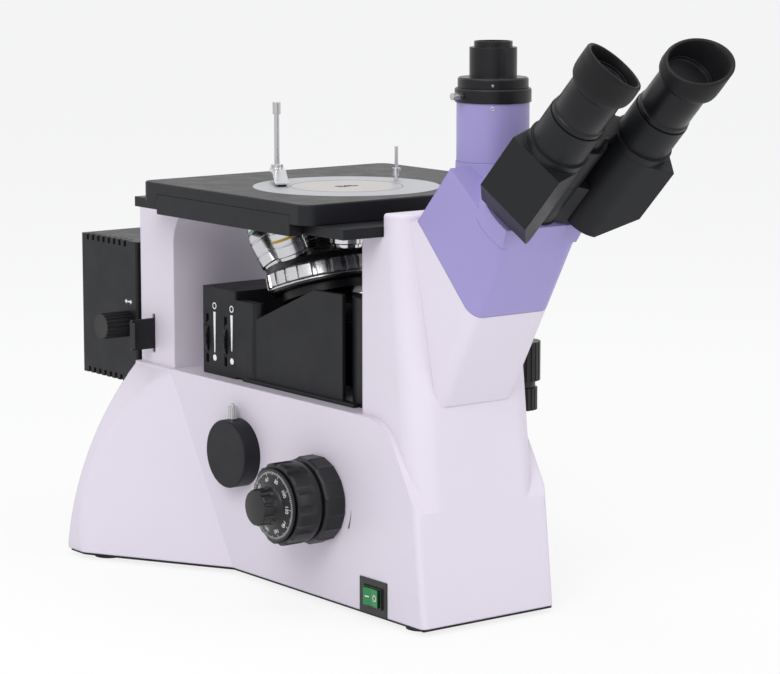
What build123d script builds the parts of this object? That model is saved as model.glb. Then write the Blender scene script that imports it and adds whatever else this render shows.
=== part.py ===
"""Inverted reflected-light microscope with a trinocular head, as separate pieces.

+X is the operator's right, +Y points from the operator to the lamp house, +Z is up.
Z = 0 is the table under the rubber feet. All sizes are millimetres.
"""
from build123d import *
from math import cos, pi, radians, sin, tan
import os

os.makedirs("parts", exist_ok=True)

# Clearances
slide_gap = 0.3          # between sliding or turning faces
bore_gap = 0.06          # radial clearance of a shaft in its bore

# Stand casting
front_y = -132.0         # foot of the front face
casting_z = 5.0          # lower edge of the casting above the table
base_half = 57.0
base_length = 352.0
deck_height = 135.0
front_lean = 6.5         # degrees, front face leaning back
arch_start = 76.0        # height where the fender leaves the front face
arch_slope = 60.0        # degrees
arch_radius = 36.0
wall = 7.0
flare_half = 118.0       # half width at the rear corners
flare_start = 128.0      # ahead of the rear face, on the ground
flare_apex = 54.0        # ahead of the rear face, at deck level
flare_toe = 32.0         # ahead of the rear face, at the outer corner

# Tower and neck
tower_half = 52.0
tower_depth = 74.0
tower_height = 273.0
tower_step = 24.0        # shelf behind the tower top that carries the stage
tower_edge = 17.0
neck_half = 34.0
neck_foot = 144.6        # height of the neck's lower edge
neck_reach = 51.5        # how far the lip stands in front of the foot
neck_top = 263.0         # height of the lip
neck_draft = 7.0
neck_edge = 11.0
seat_front = 209.0       # height of the head seat on the front face

# Rear post
post_half = 54.0
post_front = 303.0       # from the front foot
post_top = 257.0
post_gusset = 30.0
light_height = 158.0     # lamp axis above the casting edge
light_bore = 15.0

deck_z = casting_z + deck_height
base_back = front_y + base_length
tower_back = front_y + tower_depth
tower_top = casting_z + tower_height
post_face = front_y + post_front
light_z = casting_z + light_height

# Stage
stage_plate = 7.1        # fixed plate
plate_z = casting_z + 257.2
fixed_half = 84.5
fixed_hole = 66.0
travel = 15.0            # each way, both directions
middle_plate = 5.8
bar_width = 10.5
bar_drop = 8.3           # how far the side bars hang over the fixed plate's edge
bar_front = 97.0         # from the front foot
bar_length = 163.0
top_plate = 14.0
top_left = 95.5
top_right = 122.5
top_front = 79.0         # from the front foot
top_length = 202.0
insert_radius = 66.0
insert_depth = 6.0
disc_radius = 39.5
disc_depth = 3.0
optic_y = front_y + 162.0

# Focus drive
focus_y = front_y + 116.0
focus_z = casting_z + 70.0
tension_radius = 30.5
tension_width = 16.0
coarse_radius = 28.7
coarse_width = 20.0
coarse_bore = 5.0
dial_radius = 25.0
dial_width = 6.5
fine_radius = 12.7
fine_end = 112.0         # outer end of the fine knob from the centre plane
fine_shaft_radius = 3.0
focus_boss = 11.0
pinion_pitch = 6.0       # radius
pinion_teeth = 12
pinion_width = 8.0
rack_width = 8.0
rack_depth = 7.0
rack_y = focus_y + pinion_pitch + 1 + rack_depth / 2
lift_down = 5.0

# Revolving nosepiece
turret_y = front_y + 188.0
turret_z = casting_z + 211.0
turret_tilt = 18.0
turret_radius = 42.0
turret_width = 13.0
turret_seat = 15.5       # objective shoulder above the turret's middle plane
objective_count = 5

# Head
hinge_tilt = 45.0
hinge_y = front_y - 37.4
hinge_z = casting_z + 277.1
boss_radius = 38.0
boss_height = 8.0
arm_length = 37.5
arm_droop = 20.0         # degrees below level at rest
tube_radius = 24.0       # camera tube
tube_top = 348.0         # above the casting edge


def front_face(height):
    """Y of the leaning front face at a height above the casting edge."""
    return front_y + height * tan(radians(front_lean))


def finish(builder, name):
    """Label one piece and write it."""
    builder.part.label = name
    export_step(builder.part, "parts/" + name + ".step")


front_plane = Plane(
    origin=(0, front_y, casting_z),
    x_dir=(1, 0, 0),
    z_dir=(0, -cos(radians(front_lean)), sin(radians(front_lean))),
)

# Stand casting: base with its fenders
arch_y = front_face(arch_start)
arch_corner = arch_y + (deck_height - arch_start) / tan(radians(arch_slope))
with BuildPart() as base_form:
    with BuildSketch(Plane.YZ):
        with BuildLine():
            Polyline(
                (front_y - wall, casting_z),
                (base_back, casting_z),
                (base_back, deck_z),
                (arch_corner, deck_z),
                (arch_y, casting_z + arch_start),
                (front_y - wall, casting_z + arch_start),
                close=True,
            )
        make_face()
    extrude(amount=base_half, both=True)
    shoulder = edges().filter_by(Axis.X).sort_by_distance((0, arch_corner, deck_z))[0]
    fillet(shoulder, arch_radius)
    split(bisect_by=front_plane, keep=Keep.BOTTOM)
    corners = faces().sort_by(Axis.Y)[0].edges().filter_by(Axis.X, reverse=True)
    fillet(corners.filter_by(lambda e: abs(e.center().X) > base_half - 1), 4)

# Rear flare of one side, a curved wall cut off by a slanting facet
facet_apex = Vector(base_half, base_back - flare_apex, casting_z + deck_height - 11)
facet_foot = Vector(base_half, base_back - flare_start, casting_z)
facet_toe = Vector(flare_half - 6, base_back - flare_toe, casting_z)
facet_plane = Plane(
    origin=facet_apex,
    x_dir=facet_foot - facet_apex,
    z_dir=(facet_foot - facet_apex).cross(facet_toe - facet_apex),
)
with BuildPart() as flare:
    with BuildSketch(Plane.XZ.offset(-base_back)):
        with BuildLine():
            ThreePointArc(
                (flare_half, casting_z + 4),
                (base_half + 0.7 * (flare_half - base_half), casting_z + 0.52 * deck_height),
                (base_half, deck_z - 2),
            )
            Polyline(
                (base_half, deck_z - 2),
                (base_half - wall, deck_z - 2),
                (base_half - wall, casting_z),
                (flare_half, casting_z),
                (flare_half, casting_z + 4),
            )
        make_face()
    extrude(amount=flare_start + 5)
    split(bisect_by=facet_plane, keep=Keep.BOTTOM)
    facet = faces().sort_by(lambda f: -abs(f.normal_at().dot(facet_plane.z_dir)))[0]
    fillet(facet.edges().filter_by(GeomType.LINE, reverse=True), 14)
    mirror(about=Plane.YZ)

# Tower behind the front face
with BuildPart() as tower:
    with BuildSketch(Plane.YZ):
        with BuildLine():
            Polyline(
                (front_y - wall, casting_z),
                (tower_back, casting_z),
                (tower_back, plate_z),
                (tower_back - tower_step, plate_z),
                (tower_back - tower_step, tower_top),
                (front_y - wall, tower_top),
                close=True,
            )
        make_face()
    extrude(amount=tower_half, both=True)
    split(bisect_by=front_plane, keep=Keep.BOTTOM)
    front_edges = faces().sort_by(Axis.Y)[0].edges().filter_by(Axis.X, reverse=True)
    fillet(front_edges, tower_edge)
    fillet(faces().sort_by(Axis.Z)[-1].edges().sort_by(Axis.Y)[:-1], 2.5)

# Neck and head share one outer form, parted at the seat
lip = Vector(0, front_y - neck_reach, casting_z + neck_top)
foot = Vector(0, front_face(neck_foot) - 0.8, casting_z + neck_foot)
neck_run = (lip - foot).length
neck_up = (lip - foot).normalized()
neck_face = Plane(origin=foot, x_dir=(1, 0, 0), z_dir=Vector(1, 0, 0).cross(neck_up))
hinge_axis = Vector(0, -sin(radians(hinge_tilt)), cos(radians(hinge_tilt)))
seat_back_y = front_y + 25.5
seat_back_z = casting_z + 269.5
seat_front_y = foot.Y + (seat_front - neck_foot) * (lip.Y - foot.Y) / (lip.Z - foot.Z)
crown_y = lip.Y + 44.0
crown_z = lip.Z + 44.0
with BuildPart() as neck_form:
    with BuildSketch(neck_face):
        with Locations((0, neck_run / 2)):
            Rectangle(2 * neck_half, neck_run + 120)
    extrude(amount=-95, taper=-neck_draft)
    with BuildSketch(Plane.YZ):
        with BuildLine():
            Polyline(
                (foot.Y, foot.Z),
                (lip.Y, lip.Z),
                (crown_y, crown_z),
                (seat_back_y, seat_back_z),
                (tower_back - tower_step - 2, seat_back_z),
                (tower_back - tower_step - 2, foot.Z),
                close=True,
            )
        make_face()
    extrude(amount=70, both=True, mode=Mode.INTERSECT)
    front = faces().sort_by(lambda f: f.normal_at().dot(neck_face.z_dir))[-1]
    fillet(front.edges().filter_by(Axis.X, reverse=True), neck_edge)
seat_plane = Plane(
    origin=(0, seat_front_y, casting_z + seat_front),
    x_dir=(1, 0, 0),
    z_dir=(0, -(seat_back_z - casting_z - seat_front), seat_back_y - seat_front_y),
)

# Rear post with the gusset under the stage plate
with BuildPart() as post:
    with BuildSketch(Plane.YZ):
        with BuildLine():
            Polyline(
                (base_back, deck_z - wall),
                (base_back, casting_z + post_top),
                (post_face + 4, casting_z + post_top),
                (post_face + 4, plate_z),
                (post_face - post_gusset, plate_z),
            )
            RadiusArc(
                (post_face - post_gusset, plate_z),
                (post_face, plate_z - post_gusset),
                post_gusset,
            )
            Polyline(
                (post_face, plate_z - post_gusset),
                (post_face, deck_z - wall),
                (base_back, deck_z - wall),
            )
        make_face()
    extrude(amount=post_half, both=True)
    fillet(edges().filter_by(Axis.Z).group_by(Axis.Y)[-1], 6)

# Filter slider channel and light path through the post
slider_y = front_y + 331.0
slider_z = light_z
slider_thick = 3.0
slider_height = 28.0

inlet_x = -30.0
inlet_z = casting_z + 48.0
inlet_width = 27.0
inlet_height = 20.0
switch_y = front_y + 54.8
switch_z = casting_z + 12.0
panel_width = 30.5
panel_height = 24.0
panel_thick = 3.0

with BuildPart() as stand_casting:
    add(base_form.part)
    add(flare.part)
    add(tower.part)
    add(split(neck_form.part, bisect_by=seat_plane, keep=Keep.BOTTOM, mode=Mode.PRIVATE))
    add(post.part)
    # hollow under the deck, open at the bottom
    with BuildSketch(Plane.XY.offset(casting_z)):
        with Locations((0, (tower_back + base_back) / 2)):
            Rectangle(2 * (base_half - wall), base_back - tower_back - 2 * wall)
    extrude(amount=deck_height - 1.4 * wall, mode=Mode.SUBTRACT)
    with BuildSketch(Plane.XY.offset(casting_z)):
        with Locations((0, (front_y + tower_back) / 2 + wall)):
            Rectangle(2 * (base_half - wall), tower_depth - wall)
    extrude(amount=36, mode=Mode.SUBTRACT)
    # light bore along the post
    with BuildSketch(Plane.XZ.offset(-base_back)):
        with Locations((0, light_z)):
            Circle(light_bore)
    extrude(amount=base_back - post_face + 1, mode=Mode.SUBTRACT)
    # slider channel, open on the left
    with BuildSketch(Plane.YZ.offset(-post_half)):
        with Locations((slider_y, slider_z)):
            Rectangle(slider_thick + 2 * slide_gap, slider_height + 2 * slide_gap)
    extrude(amount=post_half + 45, mode=Mode.SUBTRACT)
    # window up the tower for the nosepiece light path
    with Locations((0, optic_y, deck_z)):
        Cylinder(light_bore, 40, mode=Mode.SUBTRACT)
    # focus shaft bores
    with BuildSketch(Plane.YZ):
        with Locations((focus_y, focus_z)):
            Circle(coarse_bore + bore_gap)
    extrude(amount=base_half + 1, both=True, mode=Mode.SUBTRACT)
    # pocket of the power switch panel
    with BuildSketch(Plane.YZ.offset(-base_half)):
        with Locations((switch_y, switch_z)):
            Rectangle(panel_width, panel_height)
    extrude(amount=panel_thick - 0.6, mode=Mode.SUBTRACT)
    with BuildSketch(Plane.YZ.offset(-base_half)):
        with Locations((switch_y, switch_z)):
            Rectangle(22, 15)
    extrude(amount=wall + 1, mode=Mode.SUBTRACT)
    # opening of the mains inlet
    with BuildSketch(Plane.XZ.offset(-base_back)):
        with Locations((inlet_x, inlet_z)):
            Rectangle(inlet_width, inlet_height)
    extrude(amount=wall + 1, mode=Mode.SUBTRACT)
    # bosses that carry the focus shaft and the tension ring
    for side in (-1, 1):
        with BuildSketch(Plane.YZ.offset(side * base_half)):
            with Locations((focus_y, focus_z)):
                Circle(focus_boss)
                Circle(coarse_bore + bore_gap, mode=Mode.SUBTRACT)
        extrude(amount=side * (tension_width + 2 * slide_gap))
    # slot for the focus rack through the deck
    with BuildSketch(Plane.XY.offset(deck_z)):
        with Locations((0, rack_y)):
            Rectangle(rack_width + 2 * slide_gap, rack_depth + 2 * slide_gap)
    extrude(amount=-2 * wall, mode=Mode.SUBTRACT)
finish(stand_casting, "stand_casting")

# Plate that closes the base, cut to the casting's outline
plate_thick = 2.0
plate_inset = 1.5
with BuildPart() as base_plate:
    with BuildSketch(Plane.XY.offset(casting_z - plate_thick)) as outline:
        with BuildLine():
            Polyline(
                (0, front_y),
                (base_half, front_y),
                (base_half, base_back - flare_start),
                (flare_half - 6, base_back - flare_toe),
                (flare_half, base_back - flare_toe + 12),
                (flare_half, base_back),
                (0, base_back),
            )
            mirror(about=Plane.YZ)
        make_face()
        offset(amount=-plate_inset, kind=Kind.INTERSECTION, mode=Mode.REPLACE)
    extrude(amount=plate_thick)
finish(base_plate, "base_plate")

foot_radius = 11.0
with BuildPart() as rubber_feet:
    for spread, along in ((base_half - 16, front_y + 22), (flare_half - 22, base_back - 22)):
        for side in (-1, 1):
            with BuildSketch(Plane.XY):
                with Locations((side * spread, along)):
                    Circle(foot_radius)
            extrude(amount=casting_z - plate_thick)
finish(rubber_feet, "rubber_feet")

# Power board on four standoffs over the base plate
board_y = front_y + 268.0
board_length = 110.0
board_width = 76.0
standoff = 8.0
with BuildPart() as power_board:
    with BuildSketch(Plane.XY.offset(casting_z)):
        with Locations((0, board_y)):
            with GridLocations(board_width - 10, board_length - 10, 2, 2):
                Circle(3)
    extrude(amount=standoff)
    with BuildSketch(Plane.XY.offset(casting_z + standoff)):
        with Locations((0, board_y)):
            Rectangle(board_width, board_length)
    extrude(amount=1.6)
    with BuildSketch(Plane.XY.offset(casting_z + standoff + 1.6)):
        with Locations((-12, board_y + 20)):
            Rectangle(40, 46)
    extrude(amount=30)
    with BuildSketch(Plane.XY.offset(casting_z + standoff + 1.6)):
        with Locations((24, board_y - 25), (24, board_y + 5)):
            Circle(8)
    extrude(amount=22)
finish(power_board, "power_board")

# Power switch: panel flush in the left wall, rocker turning on an upright pin
rocker_length = 16.0
rocker_height = 12.0
rocker_pin = 1.5
panel_face = -(base_half + 0.6)
with BuildPart() as switch_panel:
    with BuildSketch(Plane.YZ.offset(panel_face)):
        with Locations((switch_y, switch_z)):
            Rectangle(panel_width, panel_height)
    extrude(amount=panel_thick)
    with BuildSketch(Plane.YZ.offset(panel_face - 1.2)):
        with Locations((switch_y, switch_z)):
            Rectangle(21, 14.5)
    extrude(amount=1.2)
    with BuildSketch(Plane.YZ.offset(panel_face + panel_thick)):
        with Locations((switch_y, switch_z)):
            Rectangle(21.6, 14.6)
    extrude(amount=9)
    with BuildSketch(Plane.YZ.offset(panel_face - 1.2)):
        with Locations((switch_y, switch_z)):
            Rectangle(rocker_length + 1.4, rocker_height + 2 * slide_gap)
    extrude(amount=10, mode=Mode.SUBTRACT)
    with Locations((panel_face + 4, switch_y, switch_z)):
        Cylinder(rocker_pin, rocker_height + 2 * slide_gap + 1)
finish(switch_panel, "switch_panel")

with BuildPart() as switch_rocker:
    with BuildSketch(Plane.XY.offset(switch_z - rocker_height / 2)):
        with BuildLine():
            Polyline(
                (panel_face + 6.5, switch_y - 3),
                (panel_face - 2.6, switch_y - rocker_length / 2),
                (panel_face - 1.6, switch_y),
                (panel_face - 2.6, switch_y + rocker_length / 2),
                (panel_face + 6.5, switch_y + 3),
                close=True,
            )
        make_face()
        with Locations((panel_face + 4, switch_y)):
            Circle(rocker_pin + bore_gap, mode=Mode.SUBTRACT)
    extrude(amount=rocker_height)
finish(switch_rocker, "switch_rocker")

# Mains inlet in the rear wall
with BuildPart() as mains_inlet:
    with BuildSketch(Plane.XZ.offset(-base_back)):
        with Locations((inlet_x, inlet_z)):
            RectangleRounded(inlet_width + 3, inlet_height + 3, 2)
    extrude(amount=-1.5)
    with BuildSketch(Plane.XZ.offset(-base_back)):
        with Locations((inlet_x, inlet_z)):
            Rectangle(inlet_width, inlet_height)
    extrude(amount=wall + 8)
    with BuildSketch(Plane.XZ.offset(-base_back - 1.5)):
        with Locations((inlet_x, inlet_z)):
            RectangleRounded(inlet_width - 4, inlet_height - 4, 2)
    extrude(amount=14, mode=Mode.SUBTRACT)
    with BuildSketch(Plane.XZ.offset(-base_back + 13)):
        with Locations((inlet_x - 7, inlet_z - 2), (inlet_x, inlet_z + 2), (inlet_x + 7, inlet_z - 2)):
            Rectangle(2, 4)
    extrude(amount=-11)
finish(mains_inlet, "mains_inlet")

# Lamp house on a spigot behind the post
lamp_half = 52.0
lamp_spigot = 5.0
lamp_length = 79.0
lamp_bottom = light_z - 42.5
lamp_height = 107.5
lamp_wall = 2.5
vent_count = 8
vent_pitch = 7.6
vent_width = 3.2
lamp_front = base_back + lamp_spigot
lamp_mid = lamp_front + lamp_length / 2
knob_y = lamp_front + 14.0
knob_z = light_z + 2.0
knob_radius = 9.75
knob_length = 23.0
with BuildPart() as lamp_house:
    with BuildSketch(Plane.XY.offset(lamp_bottom)):
        with Locations((0, lamp_mid)):
            Rectangle(2 * lamp_half, lamp_length)
    extrude(amount=lamp_height)
    fillet(edges().filter_by(Axis.Z), 2)
    with BuildSketch(Plane.XY.offset(lamp_bottom + lamp_wall)):
        with Locations((0, lamp_mid)):
            Rectangle(2 * (lamp_half - lamp_wall), lamp_length - 2 * lamp_wall)
    extrude(amount=lamp_height - 2 * lamp_wall, mode=Mode.SUBTRACT)
    with BuildSketch(Plane.XZ.offset(-base_back)):
        with Locations((0, light_z)):
            Circle(light_bore + 7)
    extrude(amount=-lamp_spigot)
    with BuildSketch(Plane.XZ.offset(-base_back)):
        with Locations((0, light_z)):
            Circle(light_bore)
    extrude(amount=-lamp_spigot - lamp_wall, mode=Mode.SUBTRACT)
    for level in (lamp_bottom, lamp_bottom + lamp_height):
        for side in (-1, 1):
            with Locations((side * lamp_half, lamp_mid + 3, level)):
                with GridLocations(1, vent_pitch, 1, vent_count):
                    Box(14, vent_width, 9, mode=Mode.SUBTRACT)
    with BuildSketch(Plane.YZ.offset(-lamp_half)):
        with Locations((knob_y, knob_z)):
            Circle(3 + bore_gap)
    extrude(amount=lamp_wall, mode=Mode.SUBTRACT)
finish(lamp_house, "lamp_house")

lamp_y = lamp_front + 42.0
with BuildPart() as lamp_bulb:
    with BuildSketch(Plane.XY.offset(lamp_bottom + lamp_wall)):
        with Locations((0, lamp_y)):
            RectangleRounded(26, 18, 3)
    extrude(amount=light_z - lamp_bottom - lamp_wall - 14)
    with BuildSketch(Plane.XZ.offset(-lamp_y)):
        with BuildLine():
            Polyline((0, light_z - 14), (5.5, light_z - 14), (5.5, light_z + 6))
            RadiusArc((5.5, light_z + 6), (0, light_z + 11.5), -5.5)
            Line((0, light_z + 11.5), (0, light_z - 14))
        make_face()
    revolve(axis=Axis((0, lamp_y, 0), (0, 0, 1)))
finish(lamp_bulb, "lamp_bulb")

with BuildPart() as collector_lens:
    with BuildSketch(Plane.XY.offset(light_z)):
        with BuildLine():
            Polyline(
                (0, base_back + 4.5),
                (light_bore - bore_gap, base_back + 2.5),
                (light_bore - bore_gap, base_back + 0.5),
                (0, base_back + 0.5),
                close=True,
            )
        make_face()
    revolve(axis=Axis((0, 0, light_z), (0, 1, 0)))
finish(collector_lens, "collector_lens")

knob_flutes = 20
with BuildPart() as lamp_knob:
    with BuildSketch(Plane.YZ.offset(-lamp_half - slide_gap)):
        with Locations((knob_y, knob_z)):
            Circle(knob_radius)
            with PolarLocations(knob_radius, knob_flutes):
                Circle(0.8, mode=Mode.SUBTRACT)
    extrude(amount=-knob_length)
    with BuildSketch(Plane.YZ.offset(-lamp_half - slide_gap)):
        with Locations((knob_y, knob_z)):
            Circle(3)
    extrude(amount=lamp_wall + 6)
finish(lamp_knob, "lamp_knob")

# Filter slider through the post, with a taller tab outside
tab_height = 22.5
tab_reach = 20.0
with BuildPart() as filter_slider:
    with BuildSketch(Plane.XZ.offset(-slider_y - slider_thick / 2)):
        with Locations((-post_half / 2 + 16, slider_z)):
            Rectangle(post_half + 30, slider_height - 1)
        with Locations((0, slider_z)):
            Circle(11, mode=Mode.SUBTRACT)
    extrude(amount=slider_thick)
    with BuildSketch(Plane.XZ.offset(-slider_y - slider_thick / 2)):
        with Locations((-post_half - tab_reach / 2 + 2, slider_z)):
            RectangleRounded(tab_reach + 4, tab_height, 1.4)
    extrude(amount=slider_thick)
    with BuildSketch(Plane.XZ.offset(-slider_y - slider_thick / 2)):
        with Locations((-post_half - tab_reach + 1.2, slider_z)):
            Rectangle(2.4, tab_height - 3)
    extrude(amount=slider_thick + 4)
finish(filter_slider, "filter_slider")

# Illuminator box on the deck with two diaphragm wheels in upright slots
box_half = 45.0
box_front = front_y + 236.0
box_back = front_y + 279.0
box_top = casting_z + 199.0
snout_half = 42.0
snout_front = front_y + 210.0
snout_top = casting_z + 180.0
box_wall = 3.0
wheel_radius = 24.0
wheel_width = 3.0
wheel_proud = 2.5
wheel_z = casting_z + 161.0
wheel_x = -box_half - wheel_proud + wheel_radius
wheel_axle = 2.0
wheel_hub = 1.5
aperture_y = front_y + 272.5
field_y = front_y + 249.0
with BuildPart() as illuminator_box:
    with BuildSketch(Plane.XY.offset(deck_z)):
        with Locations((0, (box_front + box_back) / 2)):
            Rectangle(2 * box_half, box_back - box_front)
    extrude(amount=box_top - deck_z)
    fillet(edges().filter_by(Axis.Z), 1.5)
    with BuildSketch(Plane.XY.offset(deck_z)):
        with Locations((0, (snout_front + box_front) / 2 + 1)):
            Rectangle(2 * snout_half, box_front - snout_front + 2)
    extrude(amount=snout_top - deck_z)
    with BuildSketch(Plane.XY.offset(deck_z)):
        with Locations((0, (box_front + box_back) / 2)):
            Rectangle(2 * (box_half - box_wall), box_back - box_front - 2 * box_wall)
    extrude(amount=box_top - deck_z - box_wall, mode=Mode.SUBTRACT)
    with BuildSketch(Plane.YZ.offset(-box_half)):
        with Locations((aperture_y, wheel_z), (field_y, wheel_z)):
            Rectangle(wheel_width + 2 * slide_gap, 36)
    extrude(amount=box_wall, mode=Mode.SUBTRACT)
    with BuildSketch(Plane.XZ.offset(-box_back)):
        with Locations((0, light_z)):
            Circle(12)
    extrude(amount=box_back - snout_front, mode=Mode.SUBTRACT)
    with BuildSketch(Plane.XZ.offset(-box_back + box_wall)):
        with Locations((wheel_x, wheel_z)):
            Circle(wheel_axle)
    extrude(amount=box_back - box_front - 2 * box_wall)
finish(illuminator_box, "illuminator_box")


def diaphragm_wheel(name, along):
    """One knurled thumbwheel on the axle inside the illuminator box."""
    with BuildPart() as wheel:
        with BuildSketch(Plane.XZ.offset(-along - wheel_width / 2)):
            with Locations((wheel_x, wheel_z)):
                Circle(wheel_radius)
                with PolarLocations(wheel_radius, 30):
                    Circle(0.7, mode=Mode.SUBTRACT)
                Circle(wheel_axle + bore_gap, mode=Mode.SUBTRACT)
        extrude(amount=wheel_width)
        with BuildSketch(Plane.XZ.offset(-along - wheel_width / 2 - wheel_hub)):
            with Locations((wheel_x, wheel_z)):
                Circle(3 * wheel_axle)
                Circle(wheel_axle + bore_gap, mode=Mode.SUBTRACT)
        extrude(amount=wheel_width + 2 * wheel_hub)
    finish(wheel, name)


diaphragm_wheel("aperture_wheel", aperture_y)
diaphragm_wheel("field_wheel", field_y)

# Nosepiece cover: sloping hood over the focusing carriage
cover_half = 38.0
cover_shoulder_z = casting_z + 179.0
cover_crest = front_y + 147.0
cover_crest_z = casting_z + 210.0
cover_front = front_y + 114.0
cover_wall = 3.0
column_half = 34.0
cover_mouth = 35.0       # half width of the opening for the turret base
with BuildPart() as nosepiece_cover:
    with BuildSketch(Plane.YZ):
        with BuildLine():
            Polyline(
                (snout_front - slide_gap, deck_z),
                (snout_front - slide_gap, cover_shoulder_z + 4.4),
                (cover_crest, cover_crest_z),
                (cover_front, cover_crest_z),
                (cover_front, deck_z),
                close=True,
            )
        make_face()
    extrude(amount=cover_half, both=True)
    with BuildSketch(Plane.XY.offset(deck_z)):
        with Locations((0, (tower_back + cover_front) / 2 + 1)):
            Rectangle(2 * column_half, cover_front - tower_back + 2)
    extrude(amount=cover_crest_z - deck_z)
    with BuildSketch(Plane.XY.offset(deck_z)):
        with Locations((0, tower_back + 9)):
            Rectangle(2 * cover_half, 18)
    extrude(amount=5)
    fillet(edges().filter_by(Axis.X).group_by(Axis.Z)[-1], 1.5)
    with BuildSketch(Plane.YZ):
        with BuildLine():
            Polyline(
                (snout_front - slide_gap - cover_wall, deck_z),
                (snout_front - slide_gap - cover_wall, cover_shoulder_z + 2.4),
                (cover_crest - 1, cover_crest_z - cover_wall),
                (tower_back, cover_crest_z - cover_wall),
                (tower_back, deck_z),
                close=True,
            )
        make_face()
    extrude(amount=column_half - cover_wall, both=True, mode=Mode.SUBTRACT)
    with BuildSketch(Plane.XY.offset(cover_shoulder_z)):
        with Locations((0, (cover_front + 4 + snout_front - 8) / 2)):
            Rectangle(2 * cover_mouth, snout_front - cover_front - 12)
    extrude(amount=60, mode=Mode.SUBTRACT)
finish(nosepiece_cover, "nosepiece_cover")

# Focus drive. The pinion on the hollow coarse shaft lifts a rack under the carriage.
tooth_height = 0.8
tooth_pitch = 2 * pi * pinion_pitch / pinion_teeth
tooth_width = 1.1
rack_face = rack_y - rack_depth / 2
guide_half = 13.0
guide_depth = 9.0
guide_height = 44.0
carriage_half = 24.0
carriage_bottom = deck_z + lift_down + 3
carriage_top = casting_z + 188.0
carriage_back = rack_y + rack_depth / 2 + 3
with BuildPart() as focus_guide:
    with BuildSketch(Plane.XY.offset(deck_z)):
        with BuildLine():
            Polyline(
                (-guide_half + 3, tower_back),
                (-guide_half, tower_back + guide_depth),
                (guide_half, tower_back + guide_depth),
                (guide_half - 3, tower_back),
                close=True,
            )
        make_face()
    extrude(amount=guide_height)
finish(focus_guide, "focus_guide")

with BuildPart() as nosepiece_carriage:
    with BuildSketch(Plane.XY.offset(carriage_bottom)):
        with Locations((0, (tower_back + 1 + carriage_back) / 2)):
            Rectangle(2 * carriage_half, carriage_back - tower_back - 1)
        with BuildLine():
            Polyline(
                (-guide_half + 3 - slide_gap, tower_back),
                (-guide_half - slide_gap, tower_back + guide_depth + slide_gap),
                (guide_half + slide_gap, tower_back + guide_depth + slide_gap),
                (guide_half - 3 + slide_gap, tower_back),
                close=True,
            )
        make_face(mode=Mode.SUBTRACT)
    extrude(amount=carriage_top - carriage_bottom)
    with BuildSketch(Plane.XY.offset(carriage_bottom)):
        with Locations((0, rack_y)):
            Rectangle(rack_width, rack_depth)
    extrude(amount=-(carriage_bottom - focus_z + 12))
    for step in range(-3, 4):
        with BuildSketch(Plane.YZ):
            with BuildLine():
                middle = focus_z + step * tooth_pitch
                Polyline(
                    (rack_face, middle - tooth_width / 2 - 0.3),
                    (rack_face - 2 * tooth_height, middle - tooth_width / 2 + 0.2),
                    (rack_face - 2 * tooth_height, middle + tooth_width / 2 - 0.2),
                    (rack_face, middle + tooth_width / 2 + 0.3),
                    close=True,
                )
            make_face()
        extrude(amount=rack_width / 2, both=True)
finish(nosepiece_carriage, "nosepiece_carriage")

knob_inner = base_half + tension_width + 2 * slide_gap + 1
coarse_end = knob_inner + coarse_width
with BuildPart() as tension_ring:
    with BuildSketch(Plane.YZ.offset(-base_half - slide_gap)):
        with Locations((focus_y, focus_z)):
            Circle(tension_radius)
            with PolarLocations(tension_radius + 5.2, 16):
                Circle(6, mode=Mode.SUBTRACT)
            Circle(focus_boss + bore_gap, mode=Mode.SUBTRACT)
    extrude(amount=-tension_width)
finish(tension_ring, "tension_ring")

with BuildPart() as coarse_shaft:
    with BuildSketch(Plane.YZ):
        with Locations((focus_y, focus_z)):
            Circle(coarse_bore)
            Circle(fine_shaft_radius + bore_gap, mode=Mode.SUBTRACT)
    extrude(amount=coarse_end - 4, both=True)
    with BuildSketch(Plane.YZ):
        with Locations((focus_y, focus_z)):
            Circle(pinion_pitch - tooth_height + 0.1)
            Circle(fine_shaft_radius + bore_gap, mode=Mode.SUBTRACT)
            with PolarLocations(pinion_pitch, pinion_teeth, start_angle=180 / pinion_teeth):
                Rectangle(2 * tooth_height, tooth_width)
    extrude(amount=pinion_width / 2, both=True)
finish(coarse_shaft, "coarse_shaft")

with BuildPart() as coarse_knobs:
    for side in (-1, 1):
        with BuildSketch(Plane.YZ.offset(side * knob_inner)):
            with Locations((focus_y, focus_z)):
                Circle(coarse_radius)
                with PolarLocations(coarse_radius + 4.6, 14):
                    Circle(6, mode=Mode.SUBTRACT)
        extrude(amount=side * (coarse_width - 4))
        with BuildSketch(Plane.YZ.offset(side * (coarse_end - 4))):
            with Locations((focus_y, focus_z)):
                Circle(coarse_radius - 0.8)
        extrude(amount=side * 4)
    with BuildSketch(Plane.YZ):
        with Locations((focus_y, focus_z)):
            Circle(coarse_bore)
    extrude(amount=coarse_end - 4, both=True, mode=Mode.SUBTRACT)
    with BuildSketch(Plane.YZ):
        with Locations((focus_y, focus_z)):
            Circle(fine_shaft_radius + bore_gap)
    extrude(amount=coarse_end + 1, both=True, mode=Mode.SUBTRACT)
finish(coarse_knobs, "coarse_knobs")

dial_start = coarse_end + slide_gap
dial_slope = 5.0
with BuildPart() as fine_shaft:
    with BuildSketch(Plane.YZ):
        with Locations((focus_y, focus_z)):
            Circle(fine_shaft_radius)
    extrude(amount=fine_end - 6, both=True)
finish(fine_shaft, "fine_shaft")

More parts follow.
